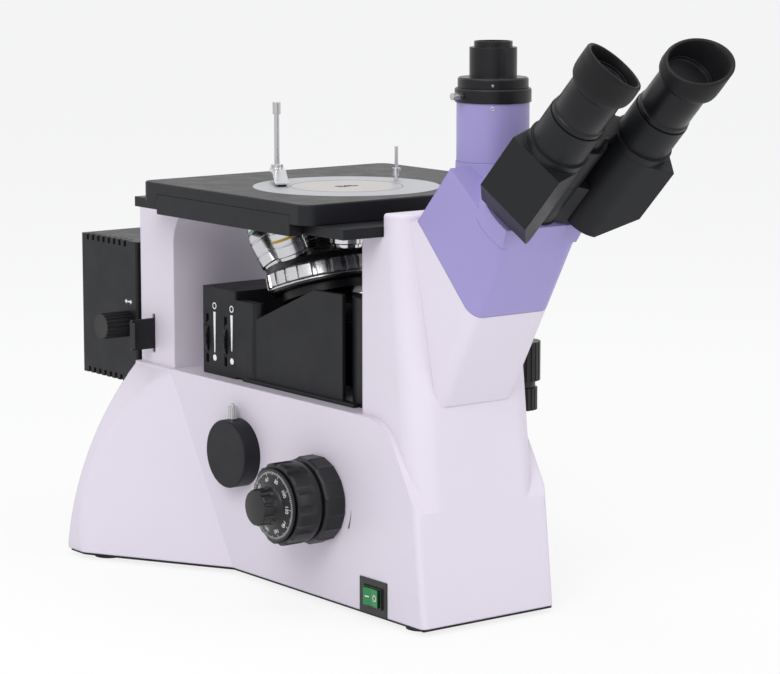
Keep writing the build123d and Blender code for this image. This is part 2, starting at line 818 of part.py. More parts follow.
with BuildPart() as fine_knobs:
    for side in (-1, 1):
        with BuildSketch(Plane.XY.offset(focus_z)):
            with BuildLine():
                Polyline(
                    (side * dial_start, focus_y),
                    (side * dial_start, focus_y + dial_radius),
                    (side * (dial_start + 1.5), focus_y + dial_radius),
                    (side * (dial_start + dial_width), focus_y + dial_radius - dial_slope),
                    (side * (dial_start + dial_width), focus_y),
                    close=True,
                )
            make_face()
        revolve(axis=Axis((0, focus_y, focus_z), (1, 0, 0)))
        with BuildSketch(Plane.YZ.offset(side * (dial_start + dial_width))):
            with Locations((focus_y, focus_z)):
                Circle(fine_radius)
                with PolarLocations(fine_radius + 1.2, 18):
                    Circle(1.8, mode=Mode.SUBTRACT)
        extrude(amount=side * (fine_end - dial_start - dial_width - 1.5))
        with BuildSketch(Plane.YZ.offset(side * (fine_end - 1.5))):
            with Locations((focus_y, focus_z)):
                Circle(fine_radius - 1.2)
        extrude(amount=side * 1.5)
    with BuildSketch(Plane.YZ):
        with Locations((focus_y, focus_z)):
            Circle(fine_shaft_radius)
    extrude(amount=fine_end - 6, both=True, mode=Mode.SUBTRACT)
finish(fine_knobs, "fine_knobs")

# Cap of the side port with its thumbscrew
cap_y = front_y + 213.0
cap_z = casting_z + 87.0
cap_radius = 24.5
cap_depth = 13.5
screw_radius = 3.4
screw_height = 11.0
screw_stem = 1.5
with BuildPart() as side_port_cap:
    with BuildSketch(Plane.YZ.offset(-base_half)):
        with Locations((cap_y, cap_z)):
            Circle(cap_radius)
    extrude(amount=-cap_depth)
    fillet(faces().sort_by(Axis.X)[0].edges(), 1.2)
    with Locations((-base_half - cap_depth / 2, cap_y, cap_z + cap_radius)):
        Cylinder(screw_stem + bore_gap, 16, mode=Mode.SUBTRACT)
finish(side_port_cap, "side_port_cap")

with BuildPart() as cap_screw:
    with BuildSketch(Plane.XY.offset(cap_z + cap_radius + slide_gap)):
        with Locations((-base_half - cap_depth / 2, cap_y)):
            Circle(screw_radius)
            with PolarLocations(screw_radius, 12):
                Circle(0.4, mode=Mode.SUBTRACT)
    extrude(amount=screw_height - 2)
    with BuildSketch(Plane.XY.offset(cap_z + cap_radius + slide_gap - 7)):
        with Locations((-base_half - cap_depth / 2, cap_y)):
            Circle(screw_stem)
    extrude(amount=7 + screw_height)
finish(cap_screw, "cap_screw")

# Revolving nosepiece: a tilted ring whose front objective stands upright
tilt = radians(turret_tilt)
turret_axis = Vector(0, sin(tilt), cos(tilt))
turret_plane = Plane(origin=(0, turret_y, turret_z), x_dir=(1, 0, 0), z_dir=turret_axis)
objective_circle = (turret_y - optic_y + turret_seat * sin(tilt)) / cos(tilt)
cone_rim = turret_width / 2
cone_top = turret_seat + objective_circle * tan(tilt)
base_disc = 33.0
base_disc_thick = 6.0
pivot_radius = 6.0
pivot_length = 14.0
with BuildPart() as turret_base:
    with BuildSketch(turret_plane.offset(-cone_rim - slide_gap)):
        Circle(base_disc)
    extrude(amount=-base_disc_thick)
    with BuildSketch(turret_plane.offset(-cone_rim - slide_gap - 1)):
        Circle(pivot_radius)
    extrude(amount=pivot_length + 1)
    with BuildSketch(Plane.XY.offset(carriage_top)):
        with Locations((0, (tower_back + 3 + turret_y) / 2)):
            Rectangle(36, turret_y - tower_back - 3)
    extrude(amount=12)
finish(turret_base, "turret_base")

grip_count = 24
with BuildPart() as turret_ring:
    with BuildSketch(turret_plane.offset(-cone_rim)):
        Circle(turret_radius)
        with PolarLocations(turret_radius, grip_count):
            Rectangle(2.6, 3.2, mode=Mode.SUBTRACT)
    extrude(amount=turret_width)
    with BuildSketch(turret_plane.offset(-cone_rim)):
        Circle(turret_radius + 0.4)
        Circle(turret_radius - 3, mode=Mode.SUBTRACT)
    extrude(amount=1.6)
    with BuildSketch(Plane(turret_plane.origin, x_dir=(1, 0, 0), z_dir=-turret_plane.y_dir)):
        with BuildLine():
            Polyline(
                (0, cone_rim),
                (turret_radius + 0.4, cone_rim),
                (turret_radius + 0.4, cone_rim + 1.6),
                (turret_radius - 0.6, cone_top - (turret_radius - 0.6) * tan(tilt)),
                (16, cone_top - 16 * tan(tilt)),
                (0, cone_top - 16 * tan(tilt)),
                close=True,
            )
        make_face()
    revolve(axis=Axis(turret_plane.origin, turret_axis))
    with BuildSketch(turret_plane.offset(-cone_rim)):
        Circle(pivot_radius + bore_gap)
    extrude(amount=pivot_length + slide_gap, mode=Mode.SUBTRACT)
finish(turret_ring, "turret_ring")

# barrel radius, nose radius, length from the shoulder
objective_sizes = (
    (12.0, 8.0, 34.0),
    (11.5, 7.0, 32.5),
    (12.5, 9.5, 33.5),
    (12.0, 6.5, 30.0),
    (11.5, 8.5, 33.0),
)
lens_recess = 1.5


def objective_plane(number):
    """Seat plane of one objective, its Z along the objective's own axis."""
    turn = radians(-90 + number * 360 / objective_count)
    outward = turret_plane.x_dir * cos(turn) + turret_plane.y_dir * sin(turn)
    seat = turret_plane.origin + turret_axis * turret_seat + outward * objective_circle
    return Plane(
        origin=seat,
        x_dir=turret_plane.y_dir * cos(turn) - turret_plane.x_dir * sin(turn),
        z_dir=turret_axis * cos(tilt) + outward * sin(tilt),
    )


def objective(number, barrel, nose, length):
    """One objective: knurled foot, barrel, stepped nose with a lens recess."""
    seat = objective_plane(number)
    with BuildPart() as body:
        with BuildSketch(Plane(seat.origin, x_dir=seat.x_dir, z_dir=-seat.y_dir)):
            with BuildLine():
                Polyline(
                    (0, 0),
                    (barrel - 0.8, 0),
                    (barrel, 0.8),
                    (barrel, 0.62 * length),
                    (barrel - 0.5, 0.62 * length),
                    (barrel - 0.5, 0.66 * length),
                    (barrel - 0.1, 0.66 * length),
                    (barrel - 0.1, 0.8 * length),
                    (nose, length - 1),
                    (nose - 1, length),
                    (0.62 * nose, length),
                    (0.5 * nose, length - lens_recess),
                    (0, length - lens_recess),
                    close=True,
                )
            make_face()
        revolve(axis=Axis(seat.origin, seat.z_dir))
    finish(body, "objective_" + str(number + 1))


for index, sizes in enumerate(objective_sizes):
    objective(index, *sizes)

with BuildPart() as objective_lenses:
    for index, (barrel, nose, length) in enumerate(objective_sizes):
        with BuildSketch(objective_plane(index).offset(length - lens_recess)):
            Circle(0.5 * nose)
        extrude(amount=0.7)
finish(objective_lenses, "objective_lenses")

# Stage: fixed plate, plate that moves along Y, top plate that moves along X on it
fixed_front = tower_back - tower_step + 1
fixed_back = post_face + 3.5
turret_centre = (0, turret_y)
with BuildPart() as stage_fixed_plate:
    with BuildSketch(Plane.XY.offset(plate_z)):
        with Locations((0, (fixed_front + fixed_back) / 2)):
            Rectangle(2 * fixed_half, fixed_back - fixed_front)
        with Locations(turret_centre):
            Circle(fixed_hole, mode=Mode.SUBTRACT)
    extrude(amount=stage_plate)
finish(stage_fixed_plate, "stage_fixed_plate")

middle_z = plate_z + stage_plate + slide_gap
middle_half = top_left
middle_mid = front_y + bar_front + bar_length / 2
inner_bar = fixed_half + slide_gap
middle_hole = 54.0
with BuildPart() as stage_middle_plate:
    with BuildSketch(Plane.XY.offset(middle_z)):
        with Locations((0, middle_mid)):
            Rectangle(2 * middle_half, bar_length)
        with Locations((0, optic_y)):
            Circle(middle_hole, mode=Mode.SUBTRACT)
    extrude(amount=middle_plate)
    with BuildSketch(Plane.XY.offset(middle_z)):
        for side in (-1, 1):
            with Locations((side * (inner_bar + middle_half) / 2, middle_mid)):
                Rectangle(middle_half - inner_bar, bar_length)
    extrude(amount=-bar_drop)
finish(stage_middle_plate, "stage_middle_plate")

stage_top = middle_z + top_plate
top_mid_x = (top_right - top_left) / 2
recess_height = middle_plate + slide_gap
recess_right = middle_half + travel + slide_gap
insert_gap = 0.15
insert_seat = 62.0
with BuildPart() as stage_top_plate:
    with BuildSketch(Plane.XY.offset(middle_z)):
        with Locations((top_mid_x, front_y + top_front + top_length / 2)):
            RectangleRounded(top_left + top_right, top_length, 9)
    extrude(amount=top_plate)
    chamfer(faces().sort_by(Axis.Z)[-1].edges(), 0.8)
    with BuildSketch(Plane.XY.offset(middle_z)):
        with Locations(((recess_right - top_left - 1) / 2, middle_mid)):
            Rectangle(recess_right + top_left + 1, bar_length + 2 * slide_gap)
    extrude(amount=recess_height, mode=Mode.SUBTRACT)
    with BuildSketch(Plane.XY.offset(middle_z)):
        with Locations((0, optic_y)):
            Circle(insert_seat)
    extrude(amount=top_plate, mode=Mode.SUBTRACT)
    with BuildSketch(Plane.XY.offset(stage_top - insert_depth)):
        with Locations((0, optic_y)):
            Circle(insert_radius + insert_gap)
    extrude(amount=insert_depth, mode=Mode.SUBTRACT)
finish(stage_top_plate, "stage_top_plate")

clip_x = -17.0
clip_y = optic_y + 61.0
clip_radius = 1.9
pin_x = 50.8
pin_y = optic_y + 9.0
pin_radius = 1.3
disc_seat = 36.5
with BuildPart() as insert_ring:
    with BuildSketch(Plane.XY.offset(stage_top - insert_depth)):
        with Locations((0, optic_y)):
            Circle(insert_radius)
            Circle(disc_seat, mode=Mode.SUBTRACT)
    extrude(amount=insert_depth)
    with BuildSketch(Plane.XY.offset(stage_top)):
        with Locations((0, optic_y)):
            Circle(disc_radius + insert_gap)
    extrude(amount=-disc_depth, mode=Mode.SUBTRACT)
    with BuildSketch(Plane.XY.offset(stage_top)):
        with Locations((clip_x, clip_y)):
            Circle(clip_radius)
        with Locations((pin_x, pin_y)):
            Circle(pin_radius)
    extrude(amount=-4, mode=Mode.SUBTRACT)
finish(insert_ring, "insert_ring")

hole_lobe = 5.2
with BuildPart() as insert_disc:
    with BuildSketch(Plane.XY.offset(stage_top - disc_depth)):
        with Locations((0, optic_y)):
            Circle(disc_radius)
        with Locations((-4, optic_y), (4, optic_y)):
            Circle(hole_lobe, mode=Mode.SUBTRACT)
    extrude(amount=disc_depth)
finish(insert_disc, "insert_disc")

# Specimen clip: upright rod, swinging arm and rubber tip
rod_height = 56.0
rod_cap = 2.9
arm_z = stage_top + 6.0
arm_thick = 3.0
tip_x = -38.0
tip_y = optic_y + 25.0
tip_radius = 3.2
with BuildPart() as clip_rod:
    with BuildSketch(Plane.XY.offset(stage_top - 4)):
        with Locations((clip_x, clip_y)):
            Circle(clip_radius)
    extrude(amount=rod_height + 4)
    with BuildSketch(Plane.XY.offset(stage_top + rod_height - 8.5)):
        with Locations((clip_x, clip_y)):
            Circle(rod_cap)
    extrude(amount=8.5)
finish(clip_rod, "clip_rod")

tip_run = Vector(tip_x - clip_x, tip_y - clip_y, 0)
clip_plane = Plane(
    origin=(clip_x, clip_y, 0),
    x_dir=tip_run,
    z_dir=Vector(0, 0, 1).cross(tip_run) * -1,
)
with BuildPart() as clip_arm:
    with BuildSketch(clip_plane):
        with BuildLine():
            reach = tip_run.length
            Polyline(
                (-5, arm_z),
                (0.35 * reach, arm_z),
                (reach - 4, stage_top + 1.6),
                (reach + 3.4, stage_top + 1.6),
                (reach + 3.4, stage_top + 2.8),
                (reach - 3.4, stage_top + 2.8),
                (0.38 * reach, arm_z + arm_thick),
                (-5, arm_z + arm_thick),
                close=True,
            )
        make_face()
    extrude(amount=5, both=True)
    with BuildSketch(Plane.XY.offset(arm_z - 1)):
        with Locations((clip_x, clip_y)):
            Circle(clip_radius + bore_gap)
    extrude(amount=arm_thick + 2, mode=Mode.SUBTRACT)
    with BuildSketch(Plane.XY.offset(arm_z + arm_thick)):
        with Locations((clip_x, clip_y)):
            Circle(4.4)
            Circle(clip_radius + bore_gap, mode=Mode.SUBTRACT)
    extrude(amount=2.5)
finish(clip_arm, "clip_arm")

with BuildPart() as clip_tip:
    with BuildSketch(Plane.XY.offset(stage_top + slide_gap)):
        with Locations((tip_x, tip_y)):
            Circle(tip_radius)
    extrude(amount=1.6 - slide_gap)
finish(clip_tip, "clip_tip")

with BuildPart() as stage_pin:
    with BuildSketch(Plane.XY.offset(stage_top - 4)):
        with Locations((pin_x, pin_y)):
            Circle(pin_radius)
    extrude(amount=4 + 24.5)
    with BuildSketch(Plane.XY.offset(stage_top + 3.5)):
        with Locations((pin_x, pin_y)):
            Circle(3.1)
    extrude(amount=5.5)
finish(stage_pin, "stage_pin")

# Coaxial stage drive hanging from the right side bar
drive_x = 108.0
drive_y = front_y + 100.0
drive_tube = 9.0
hanger_z = middle_z - slide_gap
hanger_height = 12.0
upper_top = casting_z + 166.0
upper_height = 28.0
upper_radius = 14.5
hub_height = 5.0
hub_radius = 11.0
lower_height = 16.0
lower_radius = 12.5
outer_shaft = 4.0
inner_shaft = 2.0
with BuildPart() as drive_hanger:
    with BuildSketch(Plane.XY.offset(hanger_z)):
        with Locations(((middle_half + drive_x + drive_tube + 3) / 2, drive_y + 12)):
            Rectangle(drive_x + drive_tube + 3 - middle_half, 48)
    extrude(amount=-hanger_height)
    with BuildSketch(Plane.XY.offset(hanger_z)):
        with Locations((drive_x, drive_y)):
            Circle(drive_tube)
    extrude(amount=-(hanger_z - upper_top - slide_gap))
    with BuildSketch(Plane.XY.offset(hanger_z - 3)):
        with Locations((drive_x, drive_y)):
            Circle(outer_shaft + bore_gap)
    extrude(amount=-(hanger_z - 3 - upper_top), mode=Mode.SUBTRACT)
finish(drive_hanger, "drive_hanger")

lower_top = upper_top - upper_height - hub_height - slide_gap
with BuildPart() as stage_y_knob:
    with BuildSketch(Plane.XY.offset(upper_top)):
        with Locations((drive_x, drive_y)):
            Circle(upper_radius)
            with PolarLocations(upper_radius, 22):
                Circle(0.9, mode=Mode.SUBTRACT)
    extrude(amount=-upper_height)
    with BuildSketch(Plane.XY.offset(upper_top - upper_height)):
        with Locations((drive_x, drive_y)):
            Circle(hub_radius)
    extrude(amount=-hub_height)
    with BuildSketch(Plane.XY.offset(upper_top)):
        with Locations((drive_x, drive_y)):
            Circle(outer_shaft)
    extrude(amount=60)
    with BuildSketch(Plane.XY.offset(upper_top - upper_height - hub_height)):
        with Locations((drive_x, drive_y)):
            Circle(inner_shaft + bore_gap)
    extrude(amount=upper_height + hub_height + 60, mode=Mode.SUBTRACT)
finish(stage_y_knob, "stage_y_knob")

with BuildPart() as stage_x_knob:
    with BuildSketch(Plane.XY.offset(lower_top)):
        with Locations((drive_x, drive_y)):
            Circle(lower_radius)
            with PolarLocations(lower_radius, 20):
                Circle(0.9, mode=Mode.SUBTRACT)
    extrude(amount=-lower_height)
    with BuildSketch(Plane.XY.offset(lower_top)):
        with Locations((drive_x, drive_y)):
            Circle(inner_shaft)
    extrude(amount=upper_height + hub_height + 64)
finish(stage_x_knob, "stage_x_knob")

# Folding mirror on its post under the deck
with BuildPart() as fold_mirror:
    with BuildSketch(Plane.YZ):
        with BuildLine():
            Polyline(
                (optic_y - 14, casting_z),
                (optic_y + 14, casting_z),
                (optic_y + 14, casting_z + 78),
                (optic_y - 14, casting_z + 106),
                close=True,
            )
        make_face()
    extrude(amount=13, both=True)
finish(fold_mirror, "fold_mirror")

# Head: upper part of the neck form with the round binocular mount and the tube seat
tube_seat = casting_z + 309.0
tube_bore = 17.0
tube_y = front_y
pivot_flange = 16.3
pivot_barrel = 8.0
hinge_datum = Vector(0, hinge_y, hinge_z)
mount_plane = Plane(origin=hinge_datum, x_dir=(1, 0, 0), z_dir=hinge_axis)
with BuildPart() as mount_boss:
    with BuildSketch(mount_plane.offset(-6)):
        Circle(boss_radius)
    extrude(amount=boss_height + 6)
    split(bisect_by=neck_face, keep=Keep.BOTTOM)

with BuildPart() as head_base:
    add(split(neck_form.part, bisect_by=seat_plane, keep=Keep.TOP, mode=Mode.PRIVATE))
    add(mount_boss.part)
    with BuildSketch(Plane.XY.offset(tube_seat)):
        with Locations((0, tube_y)):
            Circle(tube_radius + 0.5)
    extrude(amount=-28)
    with BuildSketch(Plane.XY.offset(tube_seat)):
        with Locations((0, tube_y)):
            Circle(tube_bore)
    extrude(amount=-44, mode=Mode.SUBTRACT)
    with BuildSketch(Plane.XY.offset(tube_seat)):
        with Locations((0, tube_y)):
            Circle(tube_radius + slide_gap)
    extrude(amount=2, mode=Mode.SUBTRACT)
    with BuildSketch(mount_plane.offset(boss_height)):
        Circle(pivot_barrel)
    extrude(amount=-34, mode=Mode.SUBTRACT)
finish(head_base, "head_base")

# Camera tube, its clamp collar and the camera adapter
collar_radius = tube_radius + 1.25
collar_height = 9.0
adapter_flange = 23.3
adapter_flange_height = 7.0
adapter_tube = 15.65
adapter_height = 19.5
adapter_ring = 12.65
adapter_ring_height = 4.0
collar_screw_radius = 2.2
collar_screw_length = 9.0
tube_height = casting_z + tube_top - tube_seat
collar_z = tube_seat + tube_height
with BuildPart() as photo_tube:
    with BuildSketch(Plane.XY.offset(tube_seat)):
        with Locations((0, tube_y)):
            Circle(tube_radius)
            Circle(tube_bore, mode=Mode.SUBTRACT)
    extrude(amount=tube_height)
finish(photo_tube, "photo_tube")

with BuildPart() as tube_collar:
    with BuildSketch(Plane.XY.offset(collar_z)):
        with Locations((0, tube_y)):
            Circle(collar_radius)
            Circle(tube_bore, mode=Mode.SUBTRACT)
    extrude(amount=collar_height)
    chamfer(faces().sort_by(Axis.Z)[-1].edges().sort_by(SortBy.RADIUS)[-1], 0.8)
    with Locations((-collar_radius, tube_y, collar_z + collar_height / 2)):
        Cylinder(1.2 + bore_gap, 20, rotation=(0, 90, 0), mode=Mode.SUBTRACT)
finish(tube_collar, "tube_collar")

with BuildPart() as collar_screw:
    with BuildSketch(Plane.YZ.offset(-collar_radius - slide_gap)):
        with Locations((tube_y, collar_z + collar_height / 2)):
            Circle(collar_screw_radius)
            with PolarLocations(collar_screw_radius, 12):
                Circle(0.3, mode=Mode.SUBTRACT)
    extrude(amount=-collar_screw_length)
    with BuildSketch(Plane.YZ.offset(-collar_radius - slide_gap)):
        with Locations((tube_y, collar_z + collar_height / 2)):
            Circle(1.2)
    extrude(amount=7)
finish(collar_screw, "collar_screw")

adapter_z = collar_z + collar_height
with BuildPart() as camera_adapter:
    with BuildSketch(Plane.XY.offset(adapter_z)):
        with Locations((0, tube_y)):
            Circle(adapter_flange)
    extrude(amount=adapter_flange_height)
    chamfer(faces().sort_by(Axis.Z)[-1].edges(), 1)
    with BuildSketch(Plane.XY.offset(adapter_z + adapter_flange_height)):
        with Locations((0, tube_y)):
            Circle(adapter_tube)
    extrude(amount=adapter_height)
    with BuildSketch(Plane.XY.offset(adapter_z + adapter_flange_height + adapter_height)):
        with Locations((0, tube_y)):
            Circle(adapter_ring)
    extrude(amount=adapter_ring_height)
    with BuildSketch(Plane.XY.offset(adapter_z)):
        with Locations((0, tube_y)):
            Circle(adapter_ring - 1.4)
    extrude(amount=50, mode=Mode.SUBTRACT)
finish(camera_adapter, "camera_adapter")

# Binocular: pivot through both hubs, two prism housings that swing together
housing_back = 12.0      # distances along the hinge axis from the hinge datum
housing_front = 82.0
hub_split = 44.25
hub_front = 78.0
pivot_cap = 13.0
dial_start_a = 92.0
pivot_end = 94.5
scale_radius = 15.5
housing_inner = 17.0
housing_outer = 58.5
housing_half = 20.5
hub_outer = 16.0
tube_collar_radius = 20.3
tube_collar_end = 87.5
ocular_tube = 18.7
ocular_bore = 15.0
ocular_start = 111.0
with BuildPart() as binocular_pivot:
    with BuildSketch(mount_plane.offset(boss_height)):
        Circle(pivot_flange)
    extrude(amount=1.7)
    with BuildSketch(mount_plane.offset(boss_height)):
        Circle(pivot_barrel)
    extrude(amount=hub_front + 0.5 - boss_height)
    with BuildSketch(mount_plane.offset(hub_front + slide_gap)):
        Circle(pivot_cap)
    extrude(amount=dial_start_a - hub_front - slide_gap)
    with BuildSketch(mount_plane.offset(dial_start_a)):
        Circle(scale_radius)
    extrude(amount=pivot_end - dial_start_a)
    with BuildSketch(mount_plane.offset(boss_height)):
        Circle(pivot_barrel - 2.5)
    extrude(amount=hub_front - boss_height, mode=Mode.SUBTRACT)
finish(binocular_pivot, "binocular_pivot")


def arm_run(side):
    """Direction of one arm at rest, away from the hinge axis."""
    level = Vector(side, 0, 0)
    upward = Vector(0, cos(radians(hinge_tilt)), sin(radians(hinge_tilt)))
    return level * cos(radians(arm_droop)) - upward * sin(radians(arm_droop))


def arm_plane(side, along):
    """Plane across the hinge axis, its X along the arm."""
    base = hinge_datum + hinge_axis * along
    return Plane(origin=base, x_dir=arm_run(side), z_dir=hinge_axis)


def ocular_plane(side, along):
    """Plane across one ocular tube at a distance along the hinge axis."""
    base = hinge_datum + hinge_axis * along + arm_run(side) * arm_length
    return Plane(origin=base, x_dir=arm_run(side), z_dir=hinge_axis)


def prism_housing(side, hub_start, hub_end, name):
    """One prism housing with its hub and ocular tube."""
    with BuildPart() as housing:
        with BuildSketch(arm_plane(side, housing_back)):
            with BuildLine():
                half = side * housing_half
                Polyline(
                    (housing_inner, 0),
                    (housing_inner, half),
                    (housing_outer, half),
                    (housing_outer, -half),
                    (housing_inner + housing_half, -half),
                )
                RadiusArc(
                    (housing_inner + housing_half, -half),
                    (housing_inner, 0),
                    side * housing_half,
                )
            make_face()
        extrude(amount=housing_front - housing_back)
        bevel = Plane(
            origin=hinge_datum,
            x_dir=arm_run(side),
            z_dir=arm_run(side).cross(hinge_axis),
        )
        with BuildSketch(bevel):
            with BuildLine():
                Polyline(
                    (housing_inner + housing_half, housing_back - 1),
                    (housing_outer + 1, housing_back + 26),
                    (housing_outer + 1, housing_back - 1),
                    close=True,
                )
            make_face()
        extrude(amount=housing_half + 1, both=True, mode=Mode.SUBTRACT)
        with BuildSketch(arm_plane(side, hub_start)):
            Circle(hub_outer)
            with Locations(((housing_inner + 2) / 2, 0)):
                Rectangle(housing_inner + 2, 24)
        extrude(amount=hub_end - hub_start)
        with BuildSketch(arm_plane(side, hub_start)):
            Circle(pivot_barrel + bore_gap)
        extrude(amount=hub_end - hub_start, mode=Mode.SUBTRACT)
        with BuildSketch(ocular_plane(side, housing_front)):
            Circle(tube_collar_radius)
        extrude(amount=tube_collar_end - housing_front)
        with BuildSketch(ocular_plane(side, tube_collar_end)):
            Circle(ocular_tube)
        extrude(amount=ocular_start - tube_collar_end)
        with BuildSketch(ocular_plane(side, ocular_start)):
            Circle(ocular_bore + bore_gap)
        extrude(amount=-60, mode=Mode.SUBTRACT)
    finish(housing, name)


hub_back = boss_height + 2.2
prism_housing(1, hub_back, hub_split - slide_gap / 2, "prism_housing_right")
prism_housing(-1, hub_split + slide_gap / 2, hub_front, "prism_housing_left")

# Eyepieces with rubber eyecups whose rims slant up to the outside
eyepiece_radius = 18.75
eyepiece_head = 127.0
neck_radius = 16.8
neck_end = 143.0
eye_lens_radius = 11.0
eyecup_foot = 19.3
eyecup_rim = 21.5
eyecup_wall = 1.6
rim_middle = 156.0
rim_slant = 22.0
for side, word in ((1, "right"), (-1, "left")):
    with BuildPart() as eyepiece:
        with BuildSketch(ocular_plane(side, ocular_start + slide_gap)):
            Circle(eyepiece_radius)
        extrude(amount=eyepiece_head - ocular_start - slide_gap)
        with BuildSketch(ocular_plane(side, eyepiece_head)):
            Circle(neck_radius)
        extrude(amount=neck_end - eyepiece_head)
        with BuildSketch(ocular_plane(side, ocular_start - 18)):
            Circle(ocular_bore)
        extrude(amount=20)
        with BuildSketch(ocular_plane(side, ocular_start - 18)):
            Circle(eye_lens_radius)
        extrude(amount=70, mode=Mode.SUBTRACT)
    finish(eyepiece, "eyepiece_" + word)

    with BuildPart() as eyecup:
        with BuildSketch(ocular_plane(side, eyepiece_head)):
            Circle(eyecup_foot)
        with BuildSketch(ocular_plane(side, rim_middle + 12)):
            Circle(eyecup_rim)
        loft()
        with BuildSketch(ocular_plane(side, eyepiece_head)):
            Circle(neck_radius)
        extrude(amount=neck_end - eyepiece_head + 1, mode=Mode.SUBTRACT)
        with BuildSketch(ocular_plane(side, neck_end)):
            Circle(neck_radius)
        with BuildSketch(ocular_plane(side, rim_middle + 12)):
            Circle(eyecup_rim - eyecup_wall)
        loft(mode=Mode.SUBTRACT)
        rim = ocular_plane(side, rim_middle)
        slant = rim.z_dir * cos(radians(rim_slant)) - rim.x_dir * sin(radians(rim_slant))
        split(bisect_by=Plane(origin=rim.origin, z_dir=slant), keep=Keep.BOTTOM)
    finish(eyecup, "eyecup_" + word)

    with BuildPart() as eye_lens:
        with BuildSketch(ocular_plane(side, neck_end - 5)):
            Circle(eye_lens_radius)
        extrude(amount=3)
    finish(eye_lens, "eye_lens_" + word)
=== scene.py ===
"""Looks of the inverted microscope: materials, finer turned pieces, signs, light and camera."""
import bpy
import bmesh
from math import cos, pi, radians, sin, tan
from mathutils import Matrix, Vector


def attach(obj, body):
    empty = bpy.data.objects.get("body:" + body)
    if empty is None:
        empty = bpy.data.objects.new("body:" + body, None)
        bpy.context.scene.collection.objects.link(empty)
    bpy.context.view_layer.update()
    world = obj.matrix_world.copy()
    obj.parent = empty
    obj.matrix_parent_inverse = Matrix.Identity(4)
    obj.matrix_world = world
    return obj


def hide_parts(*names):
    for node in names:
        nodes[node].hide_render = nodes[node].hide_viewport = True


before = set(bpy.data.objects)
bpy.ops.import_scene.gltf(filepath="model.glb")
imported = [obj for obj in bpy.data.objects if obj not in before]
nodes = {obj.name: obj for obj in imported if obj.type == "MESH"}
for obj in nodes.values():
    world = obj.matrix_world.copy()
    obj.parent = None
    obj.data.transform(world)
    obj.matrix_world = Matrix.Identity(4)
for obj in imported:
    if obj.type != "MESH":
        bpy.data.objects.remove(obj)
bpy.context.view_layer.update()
scene = bpy.context.scene

# Lengths are in mm and are scaled to metres where a mesh is made
MM = 0.001
FRONT_Y = -132.0         # front foot of the stand
CASTING_Z = 5.0          # underside of the stand's casting
DECK_Z = CASTING_Z + 135
STAGE_TOP = CASTING_Z + 278.6
FOCUS_Y, FOCUS_Z = FRONT_Y + 116, CASTING_Z + 70

# Camera, in metres
CAMERA_PLACE = (-1.211, -1.6145, 0.4995)
CAMERA_LENS, CAMERA_SENSOR = 134.65, 36.0
view_azimuth = radians(37.222)
view_pitch = radians(9.0)
forward = Vector((
    sin(view_azimuth) * cos(view_pitch),
    cos(view_azimuth) * cos(view_pitch),
    -sin(view_pitch),
))
camera_data = bpy.data.cameras.new("camera")
camera = bpy.data.objects.new("camera", camera_data)
scene.collection.objects.link(camera)
camera.location = CAMERA_PLACE
camera.rotation_mode = "QUATERNION"
camera.rotation_quaternion = forward.to_track_quat("-Z", "Y")
camera_data.sensor_width = CAMERA_SENSOR
camera_data.lens = CAMERA_LENS
camera_data.clip_start = 0.05
camera_data.clip_end = 50.0
scene.camera = camera
scene.view_settings.view_transform = "Standard"


def tone(text):
    """Linear colour of a six-digit screen colour."""
    channels = []
    for at in (0, 2, 4):
        value = int(text[at:at + 2], 16) / 255
        channels.append(value / 12.92 if value <= 0.04045 else ((value + 0.055) / 1.055) ** 2.4)
    return (*channels, 1.0)


class Graph:
    """Small helper that adds and links nodes of one material."""

    def __init__(self, name):
        self.material = bpy.data.materials.new(name)
        self.material.use_nodes = True
        self.tree = self.material.node_tree
        self.tree.nodes.clear()
        self.output = self.add("ShaderNodeOutputMaterial")

    def add(self, kind, **values):
        node = self.tree.nodes.new(kind)
        for key, value in values.items():
            setattr(node, key, value)
        return node

    def link(self, source, target):
        self.tree.links.new(source, target)

    def noise(self, scale, detail=2.0, rough=0.5):
        place = self.add("ShaderNodeTexCoord")
        node = self.add("ShaderNodeTexNoise")
        node.inputs["Scale"].default_value = scale
        node.inputs["Detail"].default_value = detail
        node.inputs["Roughness"].default_value = rough
        self.link(place.outputs["Object"], node.inputs["Vector"])
        return node.outputs["Fac"]

    def ramp(self, source, low, high, start=0.3, end=0.7):
        node = self.add("ShaderNodeValToRGB")
        node.color_ramp.elements[0].position = start
        node.color_ramp.elements[0].color = low
        node.color_ramp.elements[1].position = end
        node.color_ramp.elements[1].color = high
        self.link(source, node.inputs["Fac"])
        return node.outputs["Color"]

    def spread(self, source, low, high, start=0.3, end=0.7):
        node = self.add("ShaderNodeMapRange")
        node.inputs["From Min"].default_value = start
        node.inputs["From Max"].default_value = end
        node.inputs["To Min"].default_value = low
        node.inputs["To Max"].default_value = high
        self.link(source, node.inputs["Value"])
        return node.outputs["Result"]


def finish_surface(graph, shader, edge, bumps=()):
    """Rounds sharp edges in the shading, by a radius in metres, and lays fine relief over them."""
    normal = None
    if edge:
        bevel = graph.add("ShaderNodeBevel", samples=4)
        bevel.inputs["Radius"].default_value = edge
        normal = bevel.outputs["Normal"]
    for height, distance, strength in bumps:
        bump = graph.add("ShaderNodeBump")
        bump.inputs["Distance"].default_value = distance
        bump.inputs["Strength"].default_value = strength
        graph.link(height, bump.inputs["Height"])
        if normal is not None:
            graph.link(normal, bump.inputs["Normal"])
        normal = bump.outputs["Normal"]
    if normal is not None:
        graph.link(normal, shader.inputs["Normal"])
    graph.link(shader.outputs["BSDF"], graph.output.inputs["Surface"])
    return graph.material


